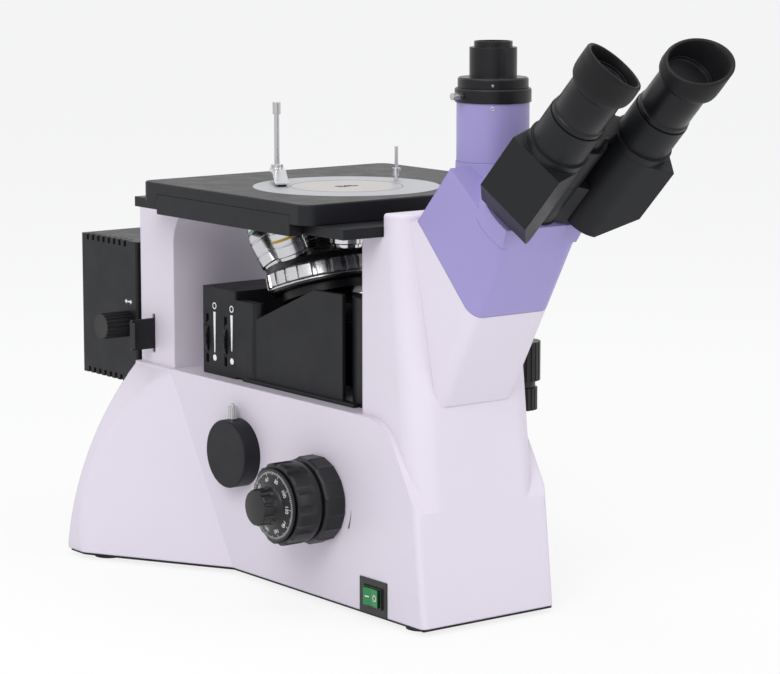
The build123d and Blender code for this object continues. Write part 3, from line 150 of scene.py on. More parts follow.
def paint(name, colour, rough, grain=900.0, relief=0.25, shift=0.04, edge=0.0008, shine=0.5):
    """Baked enamel with a fine orange-peel relief and slow colour drift."""
    graph = Graph(name)
    shader = graph.add("ShaderNodeBsdfPrincipled")
    low = tuple(c * (1 - shift) for c in colour[:3]) + (1.0,)
    high = tuple(min(1.0, c * (1 + shift)) for c in colour[:3]) + (1.0,)
    graph.link(graph.ramp(graph.noise(9.0, 3.0), low, high), shader.inputs["Base Color"])
    graph.link(
        graph.spread(graph.noise(60.0, 3.0), rough - 0.04, rough + 0.05),
        shader.inputs["Roughness"],
    )
    shader.inputs["Specular IOR Level"].default_value = shine
    fine = graph.noise(grain, 3.0, 0.6)
    return finish_surface(graph, shader, edge, [(fine, 0.00012, relief)])


def metal(name, colour, rough, grain=1500.0, relief=0.05, stretch=None, edge=0.0004):
    """Bare or plated metal, brushed along one direction where stretch is given."""
    graph = Graph(name)
    shader = graph.add("ShaderNodeBsdfPrincipled")
    shader.inputs["Metallic"].default_value = 1.0
    low = tuple(c * 0.94 for c in colour[:3]) + (1.0,)
    graph.link(graph.ramp(graph.noise(40.0, 4.0), low, colour), shader.inputs["Base Color"])
    place = graph.add("ShaderNodeTexCoord")
    mapping = graph.add("ShaderNodeMapping")
    mapping.inputs["Scale"].default_value = stretch or (1, 1, 1)
    graph.link(place.outputs["Object"], mapping.inputs["Vector"])
    brush = graph.add("ShaderNodeTexNoise")
    brush.inputs["Scale"].default_value = grain
    brush.inputs["Detail"].default_value = 2.0
    graph.link(mapping.outputs["Vector"], brush.inputs["Vector"])
    graph.link(
        graph.spread(brush.outputs["Fac"], max(0.02, rough - 0.06), rough + 0.06),
        shader.inputs["Roughness"],
    )
    return finish_surface(graph, shader, edge, [(brush.outputs["Fac"], 0.00006, relief)])


def plastic(name, colour, rough, grain=700.0, relief=0.15, edge=0.0005, shine=0.5):
    """Moulded plastic or rubber with a fine skin."""
    graph = Graph(name)
    shader = graph.add("ShaderNodeBsdfPrincipled")
    high = tuple(min(1.0, c * 1.25 + 0.002) for c in colour[:3]) + (1.0,)
    graph.link(graph.ramp(graph.noise(30.0, 3.0), colour, high), shader.inputs["Base Color"])
    graph.link(
        graph.spread(graph.noise(90.0, 2.0), rough - 0.05, rough + 0.05),
        shader.inputs["Roughness"],
    )
    shader.inputs["Specular IOR Level"].default_value = shine
    fine = graph.noise(grain, 3.0, 0.6)
    return finish_surface(graph, shader, edge, [(fine, 0.0001, relief)])


def glass(name, tint, rough=0.02):
    """Coated lens glass."""
    graph = Graph(name)
    shader = graph.add("ShaderNodeBsdfPrincipled")
    shader.inputs["Base Color"].default_value = tint
    shader.inputs["Roughness"].default_value = rough
    shader.inputs["Transmission Weight"].default_value = 0.85
    shader.inputs["IOR"].default_value = 1.5
    shader.inputs["Coat Weight"].default_value = 0.6
    shader.inputs["Coat Roughness"].default_value = 0.03
    return finish_surface(graph, shader, 0)


lilac = paint("lilac_enamel", tone("DDD5E1"), 0.42, relief=0.16, shift=0.012, edge=0.0015)
purple = paint("purple_enamel", tone("9A91C6"), 0.38, relief=0.10, shift=0.015, edge=0.0012)
black_coat = paint(
    "black_coat", tone("18191C"), 0.45, grain=1400.0, relief=0.5, shift=0.06, shine=0.25,
)
black_satin = paint(
    "black_satin", tone("151518"), 0.34, grain=1600.0, relief=0.12, shift=0.05, shine=0.25,
)
black_gloss = plastic("black_gloss", tone("121214"), 0.28, relief=0.04)
black_knob = plastic("black_knob", tone("161618"), 0.36, relief=0.12, shine=0.35)
rubber = plastic("eyecup_rubber", tone("121214"), 0.5, grain=1100.0, relief=0.2, shine=0.2)
foot_rubber = plastic("foot_rubber", tone("1A1A1C"), 0.7, relief=0.3)
insert_alu = metal("insert_aluminium", tone("B2B3B8"), 0.42, stretch=(1, 1, 0.1))
disc_alu = metal("disc_aluminium", tone("BBB6B6"), 0.38, stretch=(1, 1, 0.1))
steel = metal("polished_steel", tone("C4C4C6"), 0.2)
chrome = metal("chrome_plate", tone("D8D8DA"), 0.1, relief=0.0)
satin_chrome = metal("satin_chrome", tone("CFCFD2"), 0.22, relief=0.0)
lens = glass("coated_lens", tone("A8B6C8"))
dark_lens = glass("objective_lens", tone("6E7C98"))
green_switch = plastic("green_switch", tone("0E7A3C"), 0.18, relief=0.0)
white_mark = plastic("white_mark", tone("E6E6EA"), 0.5, relief=0.0, edge=0)
black_mark = plastic("black_mark", tone("232228"), 0.5, relief=0.0, edge=0)
green_ring = plastic("green_ring", tone("3C9A50"), 0.35, relief=0.0, edge=0)
yellow_ring = plastic("yellow_ring", tone("C9A227"), 0.35, relief=0.0, edge=0)
# Eye lens as an opaque glossy skin: its dark maroon colour is a painted reflection of the coated
# lens
eye_lens_painted_reflection = plastic("eye_lens_painted_reflection", tone("4A2C38"), 0.06, relief=0.0, edge=0)
board = plastic("circuit_board", tone("1E5A34"), 0.5)

looks = {
    lilac: ["stand_casting"],
    purple: ["head_base", "photo_tube"],
    black_coat: [
        "lamp_house", "illuminator_box", "nosepiece_cover", "side_port_cap", "stage_middle_plate",
        "stage_top_plate", "stage_fixed_plate", "base_plate", "drive_hanger",
        "nosepiece_carriage", "filter_slider", "prism_housing_right", "prism_housing_left",
    ],
    black_satin: [
        "turret_base", "binocular_pivot", "tube_collar", "camera_adapter", "aperture_wheel",
        "field_wheel", "eyepiece_right", "eyepiece_left",
    ],
    black_gloss: ["switch_panel", "mains_inlet"],
    black_knob: [
        "coarse_knobs", "fine_knobs", "tension_ring", "lamp_knob", "stage_y_knob", "stage_x_knob",
    ],
    rubber: ["eyecup_right", "eyecup_left", "clip_tip"],
    foot_rubber: ["rubber_feet"],
    insert_alu: ["insert_ring"],
    disc_alu: ["insert_disc"],
    steel: [
        "coarse_shaft", "fine_shaft", "clip_rod", "stage_pin", "collar_screw", "cap_screw",
        "focus_guide",
    ],
    satin_chrome: ["turret_ring", "clip_arm"],
    chrome: [
        "objective_1", "objective_2", "objective_3", "objective_4", "objective_5", "fold_mirror",
    ],
    lens: ["eye_lens_right", "eye_lens_left", "collector_lens", "lamp_bulb"],
    dark_lens: ["objective_lenses"],
    green_switch: ["switch_rocker"],
    board: ["power_board"],
}
for material, names in looks.items():
    for name in names:
        slots = nodes[name].data.materials
        slots.clear()
        slots.append(material)

# Floor, background and light
floor_mesh = bpy.data.meshes.new("floor")
FLOOR_REACH = 9
FLOOR_WHITE = 0.82       # share of plain white in what the camera sees of the floor
floor_mesh.from_pydata([
    (-FLOOR_REACH, -FLOOR_REACH, 0), (FLOOR_REACH, -FLOOR_REACH, 0),
    (FLOOR_REACH, FLOOR_REACH, 0), (-FLOOR_REACH, FLOOR_REACH, 0),
], [], [(0, 1, 2, 3)])
floor = bpy.data.objects.new("floor", floor_mesh)
scene.collection.objects.link(floor)
floor_graph = Graph("floor_white")
diffuse = floor_graph.add("ShaderNodeBsdfDiffuse")
diffuse.inputs["Color"].default_value = (0.9, 0.9, 0.9, 1)
glow = floor_graph.add("ShaderNodeEmission")
glow.inputs["Color"].default_value = (1, 1, 1, 1)
path = floor_graph.add("ShaderNodeLightPath")
mix = floor_graph.add("ShaderNodeMixShader")
seen = floor_graph.add("ShaderNodeMath", operation="MULTIPLY")
seen.inputs[1].default_value = FLOOR_WHITE
shiny = floor_graph.add("ShaderNodeMath", operation="ADD")
clear = floor_graph.add("ShaderNodeMath", operation="ADD", use_clamp=True)
floor_graph.link(path.outputs["Is Camera Ray"], shiny.inputs[0])
floor_graph.link(path.outputs["Is Glossy Ray"], shiny.inputs[1])
floor_graph.link(shiny.outputs[0], clear.inputs[0])
floor_graph.link(path.outputs["Is Transmission Ray"], clear.inputs[1])
floor_graph.link(clear.outputs[0], seen.inputs[0])
floor_graph.link(seen.outputs[0], mix.inputs[0])
floor_graph.link(diffuse.outputs[0], mix.inputs[1])
floor_graph.link(glow.outputs[0], mix.inputs[2])
floor_graph.link(mix.outputs[0], floor_graph.output.inputs["Surface"])
floor_mesh.materials.append(floor_graph.material)

world = bpy.data.worlds.new("studio")
scene.world = world
world.use_nodes = True
tree = world.node_tree
tree.nodes.clear()
surround = tree.nodes.new("ShaderNodeBackground")
surround.inputs["Color"].default_value = (0.93, 0.95, 1.0, 1)
surround.inputs["Strength"].default_value = 0.55
backdrop = tree.nodes.new("ShaderNodeBackground")
backdrop.inputs["Color"].default_value = (1, 1, 1, 1)
backdrop.inputs["Strength"].default_value = 1.0
rays = tree.nodes.new("ShaderNodeLightPath")
blend = tree.nodes.new("ShaderNodeMixShader")
surface = tree.nodes.new("ShaderNodeOutputWorld")
shiny_rays = tree.nodes.new("ShaderNodeMath")
shiny_rays.operation = "ADD"
clear_rays = tree.nodes.new("ShaderNodeMath")
clear_rays.operation = "ADD"
clear_rays.use_clamp = True
tree.links.new(rays.outputs["Is Camera Ray"], shiny_rays.inputs[0])
tree.links.new(rays.outputs["Is Glossy Ray"], shiny_rays.inputs[1])
tree.links.new(shiny_rays.outputs[0], clear_rays.inputs[0])
tree.links.new(rays.outputs["Is Transmission Ray"], clear_rays.inputs[1])
tree.links.new(clear_rays.outputs[0], blend.inputs[0])
tree.links.new(surround.outputs[0], blend.inputs[1])
tree.links.new(backdrop.outputs[0], blend.inputs[2])
tree.links.new(blend.outputs[0], surface.inputs[0])


def lamp(name, place, aim, size, power):
    """Soft rectangular studio lamp."""
    data = bpy.data.lights.new(name, "AREA")
    data.shape = "RECTANGLE"
    data.size, data.size_y = size
    data.energy = power
    item = bpy.data.objects.new(name, data)
    scene.collection.objects.link(item)
    item.location = place
    item.rotation_mode = "QUATERNION"
    item.rotation_quaternion = (Vector(aim) - Vector(place)).to_track_quat("-Z", "Y")


for lamp_name, lamp_place, lamp_aim, lamp_size, lamp_power in (
    ("key", (-1.6, -1.0, 1.5), (0, 0, 0.2), (1.2, 1.2), 22),
    ("front", (0.7, -2.0, 0.9), (0, 0, 0.2), (1.2, 1.0), 9),
    ("top", (0, 0.1, 2.0), (0, 0, 0), (1.6, 1.6), 14),
):
    lamp(lamp_name, lamp_place, lamp_aim, lamp_size, lamp_power)


# Small pieces
def shape(name, verts, faces, material, body, smooth=False):
    """Mesh piece in metres that rides on a body."""
    data = bpy.data.meshes.new(name)
    data.from_pydata([tuple(v) for v in verts], [], faces)
    data.materials.append(material)
    for polygon in data.polygons:
        polygon.use_smooth = smooth
    data.update()
    item = bpy.data.objects.new(name, data)
    scene.collection.objects.link(item)
    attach(item, body)
    return item


def basis(normal, up=(0, 0, 1)):
    """Right, up and normal unit vectors of a face."""
    normal = Vector(normal).normalized()
    right = Vector(up).cross(normal).normalized()
    return right, normal.cross(right), normal


def decal(name, origin, normal, outlines, material, body, up=(0, 0, 1), lift=0.06, thick=0.05):
    """Thin marks on a flat face, each outline a list of (right, up) points in mm."""
    right, above, out = basis(normal, up)
    base = Vector(origin)
    verts, faces = [], []
    for outline in outlines:
        count = len(outline)
        start = len(verts)
        for height in (lift - thick, lift):
            for a, b in outline:
                verts.append((base + right * a + above * b + out * height) * MM)
        faces.append([start + count + i for i in range(count)])
        for i in range(count):
            j = (i + 1) % count
            faces.append([start + i, start + j, start + count + j, start + count + i])
    return shape(name, verts, faces, material, body)


def disc_mark(radius, steps=24, centre=(0, 0)):
    """Outline of a filled disc."""
    return [
        (centre[0] + radius * cos(2 * pi * i / steps), centre[1] + radius * sin(2 * pi * i / steps))
        for i in range(steps)
    ]


def ring_marks(radius, width, steps=28, centre=(0, 0)):
    """Quads of a flat ring."""
    outer = disc_mark(radius, steps, centre)
    inner = disc_mark(radius - width, steps, centre)
    return [
        [inner[i], inner[(i + 1) % steps], outer[(i + 1) % steps], outer[i]]
        for i in range(steps)
    ]


SHARP_ANGLE = radians(35)


def flute(turn, count, width, square=False):
    """Depth of the grooves around a knob at one angle, from 0 to 1."""
    apart = abs((turn * count / (2 * pi) + 0.5) % 1 - 0.5) * 2
    if apart >= width:
        return 0.0
    return min(1.0, (1 - apart / width) * 5) if square else (1 - (apart / width) ** 2) ** 0.5


def turned(name, origin, axis, profile, material, body, steps=64, grooves=None, slant=0.0,
           across=(1, 0, 0), stands_for=None):
    """Turned piece. A profile point is (radius, height, groove depth, share of the slant) in mm."""
    out = Vector(axis).normalized()
    side = Vector((0, 0, 1) if abs(out.x) > 0.9 else across)
    right = (side - out * out.dot(side)).normalized()
    above = out.cross(right)
    base = Vector(origin)
    verts, faces = [], []
    for point in profile:
        radius, height, depth, share = (*point, 0.0, 0.0)[:4]
        for i in range(steps):
            turn = 2 * pi * i / steps
            reach = radius - (depth * flute(turn, *grooves) if grooves else 0)
            rise = height + share * slant * radius * cos(turn)
            spoke = right * reach * cos(turn) + above * reach * sin(turn)
            verts.append((base + spoke + out * rise) * MM)
    for k in range(len(profile) - 1):
        for i in range(steps):
            j = (i + 1) % steps
            faces.append([k * steps + i, k * steps + j, (k + 1) * steps + j, (k + 1) * steps + i])
    faces.append(list(range(steps))[::-1])
    faces.append([(len(profile) - 1) * steps + i for i in range(steps)])
    item = shape(name, verts, faces, material, body, True)
    for polygon in item.data.polygons[-2:]:
        polygon.use_smooth = False
    item.data.set_sharp_from_angle(angle=SHARP_ANGLE)
    if stands_for:
        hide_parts(stands_for)
    return item


def hex_screw(name, origin, axis, radius, body, material=steel):
    """Cap screw end with a round recess."""
    turned(name, origin, axis, [
        (radius, -0.5), (radius, 0.15), (radius * 0.92, 0.3), (radius * 0.55, 0.3),
        (radius * 0.5, -0.35), (0.05, -0.35),
    ], material, body, steps=24, across=(0.3, 0.4, 0.87))


# Lamp house arrow
knob_at = Vector((-52.0, FRONT_Y + 371, CASTING_Z + 160))
arrow = [
    [(-5.2, 0), (-2.6, 1.9), (-2.6, 0.55), (2.6, 0.55), (2.6, 1.9), (5.2, 0),
     (2.6, -1.9), (2.6, -0.55), (-2.6, -0.55), (-2.6, -1.9)],
]
decal("lamp_arrow", knob_at + Vector((0, -2, 17)), (-1, 0, 0), arrow, white_mark, "stand")

# Signs beside the two wheels: ring, tapering bar, disc
wheel_z = CASTING_Z + 161
for name, along, foot in (("aperture_sign", 263.1, 9.7), ("field_sign", 241.1, 6.1)):
    marks = ring_marks(2.5, 0.8, centre=(0, 24.6))
    marks.append([(-0.5, -foot), (0.5, -foot), (1.5, 20.2), (-1.5, 20.2)])
    marks.append(disc_mark(2.3, centre=(0, -13.5)))
    decal(name, (-45.0, FRONT_Y + along, wheel_z), (-1, 0, 0), marks, white_mark, "stand")

# Switch signs on the two slopes of the rocker
switch_at = Vector((-59.7, FRONT_Y + 54.8, CASTING_Z + 12))
for name, side, marks in (
    ("switch_ring", -1, ring_marks(2.3, 0.6)),
    ("switch_line", 1, [[(-2.0, -0.35), (2.0, -0.35), (2.0, 0.35), (-2.0, 0.35)]]),
):
    decal(name, switch_at + Vector((0, 4.2 * side, 0)), (-8, -side, 0), marks, white_mark, "rocker")

# Fine dark seam between the insert ring and its disc
SEAM_RADIUS, SEAM_WIDTH = 39.75, 0.45
decal(
    "insert_seam", (0, FRONT_Y + 162, STAGE_TOP), (0, 0, 1),
    ring_marks(SEAM_RADIUS, SEAM_WIDTH, steps=96), black_mark, "stage_x", up=(0, 1, 0),
)

# Focus drive, both sides
focus_at = Vector((0, FOCUS_Y, FOCUS_Z))
GRIP_START = 74.6
DIAL_START = 94.9
DIAL_RIM, DIAL_HUB = 23.6, 14.6
DIAL_RISE = 1.6          # how far the hub stands out past the rim of the dial
DIAL_TURN = -3.5         # tenths of a turn from the top to the number 0
DIAL_FACE = 2.1          # height of the dial's rim over DIAL_START
NUMBER_RADIUS, NUMBER_HEIGHT = 17.9, 3.9
TICK_COUNT, NUMBER_COUNT, NUMBER_STEP = 100, 10, 20
TICK_OUTER = 23.3
TICK_INNER = {"number": 20.4, "middle": 21.2, "plain": 21.9}
TICK_SPREAD = 0.17 / 22


def numeral(number, height):
    """Outline mesh of a number in Blender's own font, its middle at the origin."""
    curve = bpy.data.curves.new("numeral", "FONT")
    curve.body = number
    curve.size = height
    curve.align_x = "CENTER"
    curve.align_y = "CENTER"
    item = bpy.data.objects.new("numeral", curve)
    mesh = bpy.data.meshes.new_from_object(item)
    verts = [(v.co.x, v.co.y) for v in mesh.vertices]
    faces = [tuple(p.vertices) for p in mesh.polygons]
    bpy.data.objects.remove(item)
    bpy.data.meshes.remove(mesh)
    return verts, faces


def on_dial(side, turn, radius, lift=0.06):
    """Point on the slightly conical dial, its angle clockwise from the top as read from outside."""
    rise = DIAL_FACE + (DIAL_RIM - radius) / (DIAL_RIM - DIAL_HUB) * DIAL_RISE
    return Vector((
        side * (DIAL_START + rise + lift),
        focus_at.y + side * radius * sin(turn),
        focus_at.z + radius * cos(turn),
    )) * MM


def dial_marks(name, side):
    """A hundred ticks and ten numbers around one dial."""
    verts, faces = [], []
    for tick in range(TICK_COUNT):
        turn = 2 * pi * (tick + 10 * DIAL_TURN) / TICK_COUNT
        inner = TICK_INNER["number" if tick % 10 == 0 else "middle" if tick % 5 == 0 else "plain"]
        corners = [
            (turn - TICK_SPREAD, inner), (turn + TICK_SPREAD, inner),
            (turn + TICK_SPREAD, TICK_OUTER), (turn - TICK_SPREAD, TICK_OUTER),
        ]
        start = len(verts)
        verts += [on_dial(side, *corner) for corner in corners]
        faces.append([start + i for i in (3, 2, 1, 0)])
    for tenth in range(NUMBER_COUNT):
        spots, cells = numeral(str(NUMBER_STEP * tenth), NUMBER_HEIGHT)
        start = len(verts)
        turn = 2 * pi * (tenth + DIAL_TURN) / NUMBER_COUNT
        for across, up in spots:
            radius = NUMBER_RADIUS + up
            verts.append(on_dial(side, turn + across / radius, radius))
        faces += [[start + i for i in cell] for cell in cells]
    shape(name, verts, faces, white_mark, "fine_drive")


for side, word in ((-1, "left"), (1, "right")):
    outward = (side, 0, 0)
    turned("coarse_grip_" + word, focus_at + Vector(outward) * GRIP_START, outward, [
        (22, 0.2), (26.6, 0.2), (27.8, 0.9), (28.3, 2.2), (28.55, 4.5), (28.6, 6.2, 0.25),
        (28.6, 7.2, 0.9), (28.6, 8.8, 1.35), (28.6, 18.2, 1.35), (28.3, 19.2, 1.2),
        (27.6, 19.8, 0.7), (26.6, 20.0), (25.6, 19.9), (25.3, 19.2), (5.2, 19.2),
    ], black_knob, "coarse_drive", steps=288, grooves=(12, 0.46), stands_for="coarse_knobs")
    turned("fine_dial_" + word, focus_at + Vector(outward) * DIAL_START, outward, [
        (3.2, -0.2), (24.2, -0.2), (24.7, 0.3), (24.9, 1.4), (24.4, 1.9), (DIAL_RIM, DIAL_FACE),
        (DIAL_HUB, DIAL_FACE + DIAL_RISE), (14.0, 4.1), (13.2, 5.6), (12.9, 7.4), (12.8, 8.2, 0.3),
        (12.75, 9.0, 1.0), (12.7, 15.6, 1.1), (12.4, 16.5, 0.8), (11.9, 16.9), (11.2, 17.1),
        (0.05, 17.1),
    ], black_knob, "fine_drive", steps=240, grooves=(10, 0.4), stands_for="fine_knobs")
    dial_marks("dial_marks_" + word, side)
turned("tension_grip", focus_at + Vector((-57.3, 0, 0)), (-1, 0, 0), [
    (11.2, 0), (29.2, 0), (30.1, 0.5, 0.5), (30.5, 1.3, 0.9), (30.5, 13.2, 0.9), (30.1, 14.4, 0.8),
    (29.0, 15.6, 0.4), (27.8, 16.0), (11.2, 16.0),
], black_knob, "tension_ring", steps=320, grooves=(16, 0.95), stands_for="tension_ring")

# Tapered arc on the wall in front of the tension ring
ARC_RADIUS, ARC_WIDE, ARC_TIP, ARC_STEPS = 35.5, 1.3, 0.15, 10
WALL_X = -57.0
arc_turns = [radians(-4 - 2.2 * i) for i in range(ARC_STEPS + 1)]
arc_reach = [ARC_RADIUS + ARC_WIDE * i / ARC_STEPS + ARC_TIP for i in range(ARC_STEPS + 1)]
inner_arc = [(ARC_RADIUS * cos(t), ARC_RADIUS * sin(t)) for t in arc_turns]
outer_arc = [(reach * cos(t), reach * sin(t)) for reach, t in zip(arc_reach, arc_turns)]
decal(
    "tension_mark", (WALL_X, focus_at.y, focus_at.z), (-1, 0, 0), [outer_arc[::-1] + inner_arc],
    black_mark, "stand",
)

# Eyepieces and eyecups, along the two ocular axes
SIN45 = sin(radians(45))
hinge_at = Vector((0, FRONT_Y - 37.4, CASTING_Z + 277.1))
hinge_axis = Vector((0, -SIN45, SIN45))
ARM_LENGTH, ARM_DROOP = 37.5, radians(20)
RIM_SLANT = tan(radians(22))
for side, word in ((1, "right"), (-1, "left")):
    run = Vector((side * cos(ARM_DROOP), -SIN45 * sin(ARM_DROOP), -SIN45 * sin(ARM_DROOP)))
    ocular_at = hinge_at + run * ARM_LENGTH
    body = "eyepiece_" + word
    turned("ocular_barrel_" + word, ocular_at, hinge_axis, [
        (14.9, 93.2), (14.9, 111.3), (17.6, 111.3), (18.0, 111.8), (18.0, 114.6), (17.3, 115.3),
        (17.15, 115.8), (17.3, 116.3), (17.2, 132), (17.0, 141.6), (16.4, 142), (16.4, 146.6),
        (15.8, 147.2), (15.2, 147.2), (14.8, 145.4), (13.6, 145.2), (13.2, 143.4), (12.2, 143.0),
        (11.4, 141.6), (11.2, 137),
    ], black_satin, body, steps=96, across=run, stands_for=body)
    turned("eyecup_skin_" + word, ocular_at, hinge_axis, [
        (16.9, 139.6), (17.5, 139.6), (18.1, 140.2), (19.4, 141.6), (20.3, 143.2), (20.7, 145.2),
        (20.9, 148, 0, 0.25), (20.9, 152, 0, 0.6), (20.8, 156.4, 0, 0.9), (20.8, 158.2, 0, 1),
        (20.3, 159.3, 0, 1), (19.3, 159.6, 0, 1), (18.4, 159.0, 0, 1), (17.8, 157.0, 0, 0.9),
        (17.2, 152.5, 0, 0.5), (16.8, 148.8, 0, 0.1), (16.6, 146.6), (16.45, 145),
    ], rubber, body, steps=96, slant=RIM_SLANT, across=run, stands_for="eyecup_" + word)
    # Eye lens drawn opaque, its colour a painted reflection of the lens coating
    turned("eye_glass_" + word, ocular_at, hinge_axis, [
        (11.1, 138.2), (11.1, 139.6), (9.4, 140.5), (6.8, 141.3), (3.6, 141.8), (0.05, 141.95),
    ], eye_lens_painted_reflection, body, steps=64, across=run, stands_for="eye_lens_" + word)

# Revolving nosepiece and objectives
TURRET_TILT = radians(18)
turret_at = Vector((0, FRONT_Y + 188, CASTING_Z + 211))
turret_axis = Vector((0, sin(TURRET_TILT), cos(TURRET_TILT)))
turret_back = Vector((0, cos(TURRET_TILT), -sin(TURRET_TILT)))
TURRET_SEAT = 15.5
seat_circle = (26.0 + TURRET_SEAT * sin(TURRET_TILT)) / cos(TURRET_TILT)
cone_height = TURRET_SEAT + seat_circle * tan(TURRET_TILT)
turned("turret_hub", turret_at, turret_axis, [
    (6.1, -6.5), (39.0, -6.5), (40.2, -5.4), (40.2, 7.4), (41.2, 8.4),
    (39.8, cone_height - 39.8 * tan(TURRET_TILT)), (16, cone_height - 16 * tan(TURRET_TILT)),
    (0.05, cone_height - 15.8 * tan(TURRET_TILT)),
], black_gloss, "turret", steps=96, stands_for="turret_ring")
turned("turret_grip", turret_at, turret_axis, [
    (40.0, -2.0), (41.4, -2.0), (41.9, -1.4, 1.5), (41.9, 7.0, 1.5), (41.3, 7.8, 1.2), (40.0, 8.1),
], satin_chrome, "turret", steps=384, grooves=(24, 0.34, True), stands_for="turret_ring")
turned("turret_lip", turret_at, turret_axis, [
    (40.0, -4.3), (41.7, -4.3), (42.1, -3.9), (42.1, -3.2), (41.7, -2.8), (40.0, -2.8),
], satin_chrome, "turret", steps=96, stands_for="turret_ring")


def objective_look(number, barrel, nose, length, body_material, bands):
    """One objective on its seat, with thin bands given as (share of length, width, material)."""
    turn = radians(-90 + number * 72)
    outward = Vector((cos(turn), 0, 0)) + turret_back * sin(turn)
    seat = turret_at + turret_axis * TURRET_SEAT + outward * seat_circle
    axis = turret_axis * cos(TURRET_TILT) + outward * sin(TURRET_TILT)
    name = "objective_%d" % (number + 1)

    def radius_at(share):
        return barrel if share < 0.66 else barrel - 0.2 if share < 0.78 else nose + 0.3

    turned(name + "_barrel", seat, axis, [
        (0.05, 0.02), (barrel - 1.4, 0.02), (barrel - 1.1, 2.4), (barrel - 0.3, 2.7), (barrel, 3.1),
        (barrel, 0.30 * length), (barrel - 0.25, 0.305 * length), (barrel - 0.25, 0.33 * length),
        (barrel, 0.335 * length), (barrel, 0.62 * length), (barrel - 0.6, 0.63 * length),
        (barrel - 0.6, 0.66 * length), (barrel - 0.15, 0.67 * length),
        (barrel - 0.2, 0.78 * length), (nose + 0.6, 0.86 * length), (nose + 0.3, 0.87 * length),
        (nose, length - 0.9), (nose - 0.6, length), (0.62 * nose, length),
        (0.5 * nose, length - 1.5), (0.05, length - 1.5),
    ], body_material, "turret", steps=72, stands_for=name)
    for index, (share, width, band) in enumerate(bands):
        edge = radius_at(share) + 0.12
        turned("%s_band_%d" % (name, index), seat, axis, [
            (edge - 1.2, share * length), (edge, share * length + 0.1),
            (edge, share * length + width - 0.1), (edge - 1.2, share * length + width),
        ], band, "turret", steps=72)


objective_look(0, 12.0, 8.0, 34.0, chrome, [
    (0.36, 7.5, black_gloss), (0.68, 1.2, satin_chrome),
])
objective_look(1, 11.5, 7.0, 32.5, black_gloss, [
    (0.1, 1.2, satin_chrome), (0.5, 0.8, satin_chrome),
])
objective_look(2, 12.5, 9.5, 33.5, black_gloss, [
    (0.12, 1.4, satin_chrome), (0.4, 0.7, satin_chrome), (0.52, 0.7, satin_chrome),
    (0.7, 1.2, satin_chrome),
])
objective_look(3, 12.0, 9.6, 33.5, satin_chrome, [(0.88, 1.3, green_ring)])
objective_look(4, 11.5, 8.5, 33.0, satin_chrome, [(0.42, 2.2, yellow_ring)])


# Nosepiece hood: side walls with a sloping top edge, an end wall and a round column at the tower
def slab(name, outline, low, high, axis, material, body, round_off=0.0, stands_for=None):
    """Prism in mm. The outline lies across X or Z, from low to high along that axis."""
    mesh = bmesh.new()
    ends = []
    for level in (low, high):
        points = [(level, a, b) if axis == "x" else (a, b, level) for a, b in outline]
        ends.append([mesh.verts.new(Vector(point) * MM) for point in points])
    mesh.faces.new(ends[0][::-1])
    mesh.faces.new(ends[1])
    count = len(outline)
    for i in range(count):
        j = (i + 1) % count
        mesh.faces.new([ends[0][i], ends[0][j], ends[1][j], ends[1][i]])
    bmesh.ops.recalc_face_normals(mesh, faces=mesh.faces[:])
    if round_off:
        bmesh.ops.bevel(
            mesh, geom=mesh.edges[:], offset=round_off * MM, segments=2, profile=0.5, affect="EDGES",
        )
    data = bpy.data.meshes.new(name)
    mesh.to_mesh(data)
    mesh.free()
    data.materials.append(material)
    item = bpy.data.objects.new(name, data)
    scene.collection.objects.link(item)
    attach(item, body)
    if stands_for:
        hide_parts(stands_for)
    return item


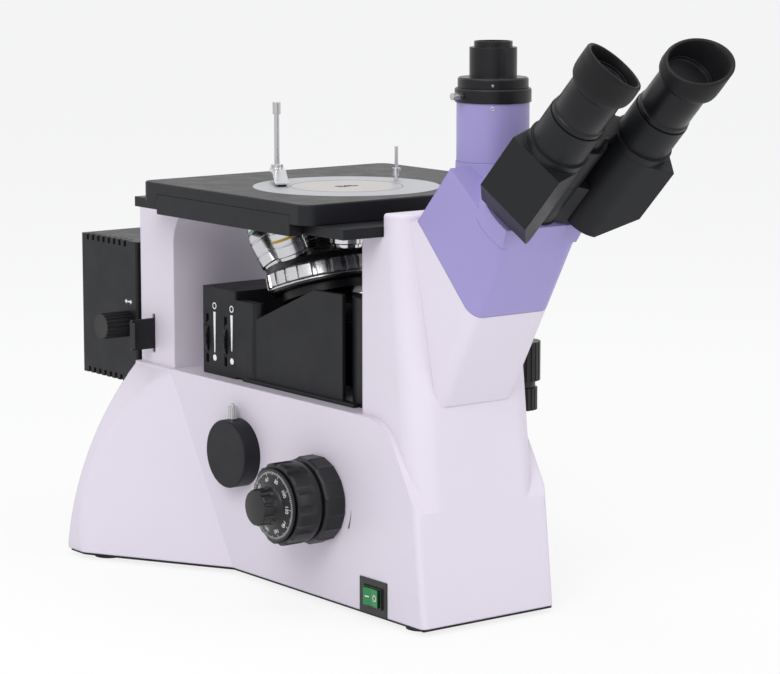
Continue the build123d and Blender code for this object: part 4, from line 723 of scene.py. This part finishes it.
HOOD_HALF, HOOD_WALL = 44.0, 3.0
hood_back, hood_crest, hood_front = FRONT_Y + 218, FRONT_Y + 140.6, FRONT_Y + 107.7
hood_side = [
    (hood_front, DECK_Z), (hood_back, DECK_Z), (hood_back, CASTING_Z + 178.9),
    (hood_crest, CASTING_Z + 211), (hood_front, CASTING_Z + 211.6),
]
COLUMN_HALF, COLUMN_WIDE, COLUMN_DEEP = 41.5, 9, 24
column_back = FRONT_Y + 74.2
for side, word in ((-1, "left"), (1, "right")):
    inner, outer = sorted((side * HOOD_HALF, side * (HOOD_HALF - HOOD_WALL)))
    slab(
        "hood_wall_" + word, hood_side, inner, outer, "x", black_coat, "stand", 0.4,
        "nosepiece_cover",
    )
    fold_ends = sorted((side * (HOOD_HALF + 1.2), side * (HOOD_HALF - 1)))
    slab("hood_fold_" + word, [
        (hood_back - 3.2, DECK_Z + 3), (hood_back + 2.4, DECK_Z + 3),
        (hood_back + 2.4, CASTING_Z + 174), (hood_back - 3.2, CASTING_Z + 176),
    ], *fold_ends, "x", black_coat, "stand", 0.5, "nosepiece_cover")
    flange_ends = sorted((side * (HOOD_HALF + 2.2), side * (HOOD_HALF - 4)))
    slab("hood_flange_" + word, [
        (FRONT_Y + 92, DECK_Z), (hood_back + 8, DECK_Z), (hood_back + 8, DECK_Z + 1.2),
        (hood_back + 5, DECK_Z + 2.8), (FRONT_Y + 92, DECK_Z + 2.8),
    ], *flange_ends, "x", black_coat, "stand", 0.4, "nosepiece_cover")
    column = [
        (
            side * (COLUMN_HALF - COLUMN_WIDE * (1 - sin(radians(10 * i)))),
            hood_front + 1 - COLUMN_DEEP * (1 - cos(radians(10 * i))),
        )
        for i in range(10)
    ]
    column += [(side * 41.0, column_back), (side * 28.0, column_back)]
    column.append((side * 28.0, hood_front + 1))
    slab(
        "hood_column_" + word, column, DECK_Z, CASTING_Z + 210.5, "z", black_coat, "stand", 0.0,
        "nosepiece_cover",
    )
    slab("snout_cheek_" + word, [
        (side * 38.0, FRONT_Y + 237), (side * 45.0, FRONT_Y + 237), (side * 45.0, FRONT_Y + 214),
        (side * 43.8, FRONT_Y + 211), (side * 41.0, FRONT_Y + 209.5), (side * 38.0, FRONT_Y + 209.5),
    ], DECK_Z + 1.5, CASTING_Z + 193, "z", black_coat, "stand", 0.3)
slab("hood_end", [
    (-HOOD_HALF + 1, hood_back - HOOD_WALL), (HOOD_HALF - 1, hood_back - HOOD_WALL),
    (HOOD_HALF - 1, hood_back - 0.4), (-HOOD_HALF + 1, hood_back - 0.4),
], CASTING_Z + 160, CASTING_Z + 178.4, "z", black_coat, "stand", 0.0, "nosepiece_cover")

# Set screws on the camera tube and its adapter
towards = Vector((-0.64, -0.77, 0)).normalized()
for name, reach, height, radius in (
    ("tube_screw", 24.0, 349.6, 1.5),
    ("adapter_screw", 23.3, 364.5, 0.8),
):
    hex_screw(name, Vector((0, FRONT_Y, height)) + towards * reach, towards, radius, "stand")
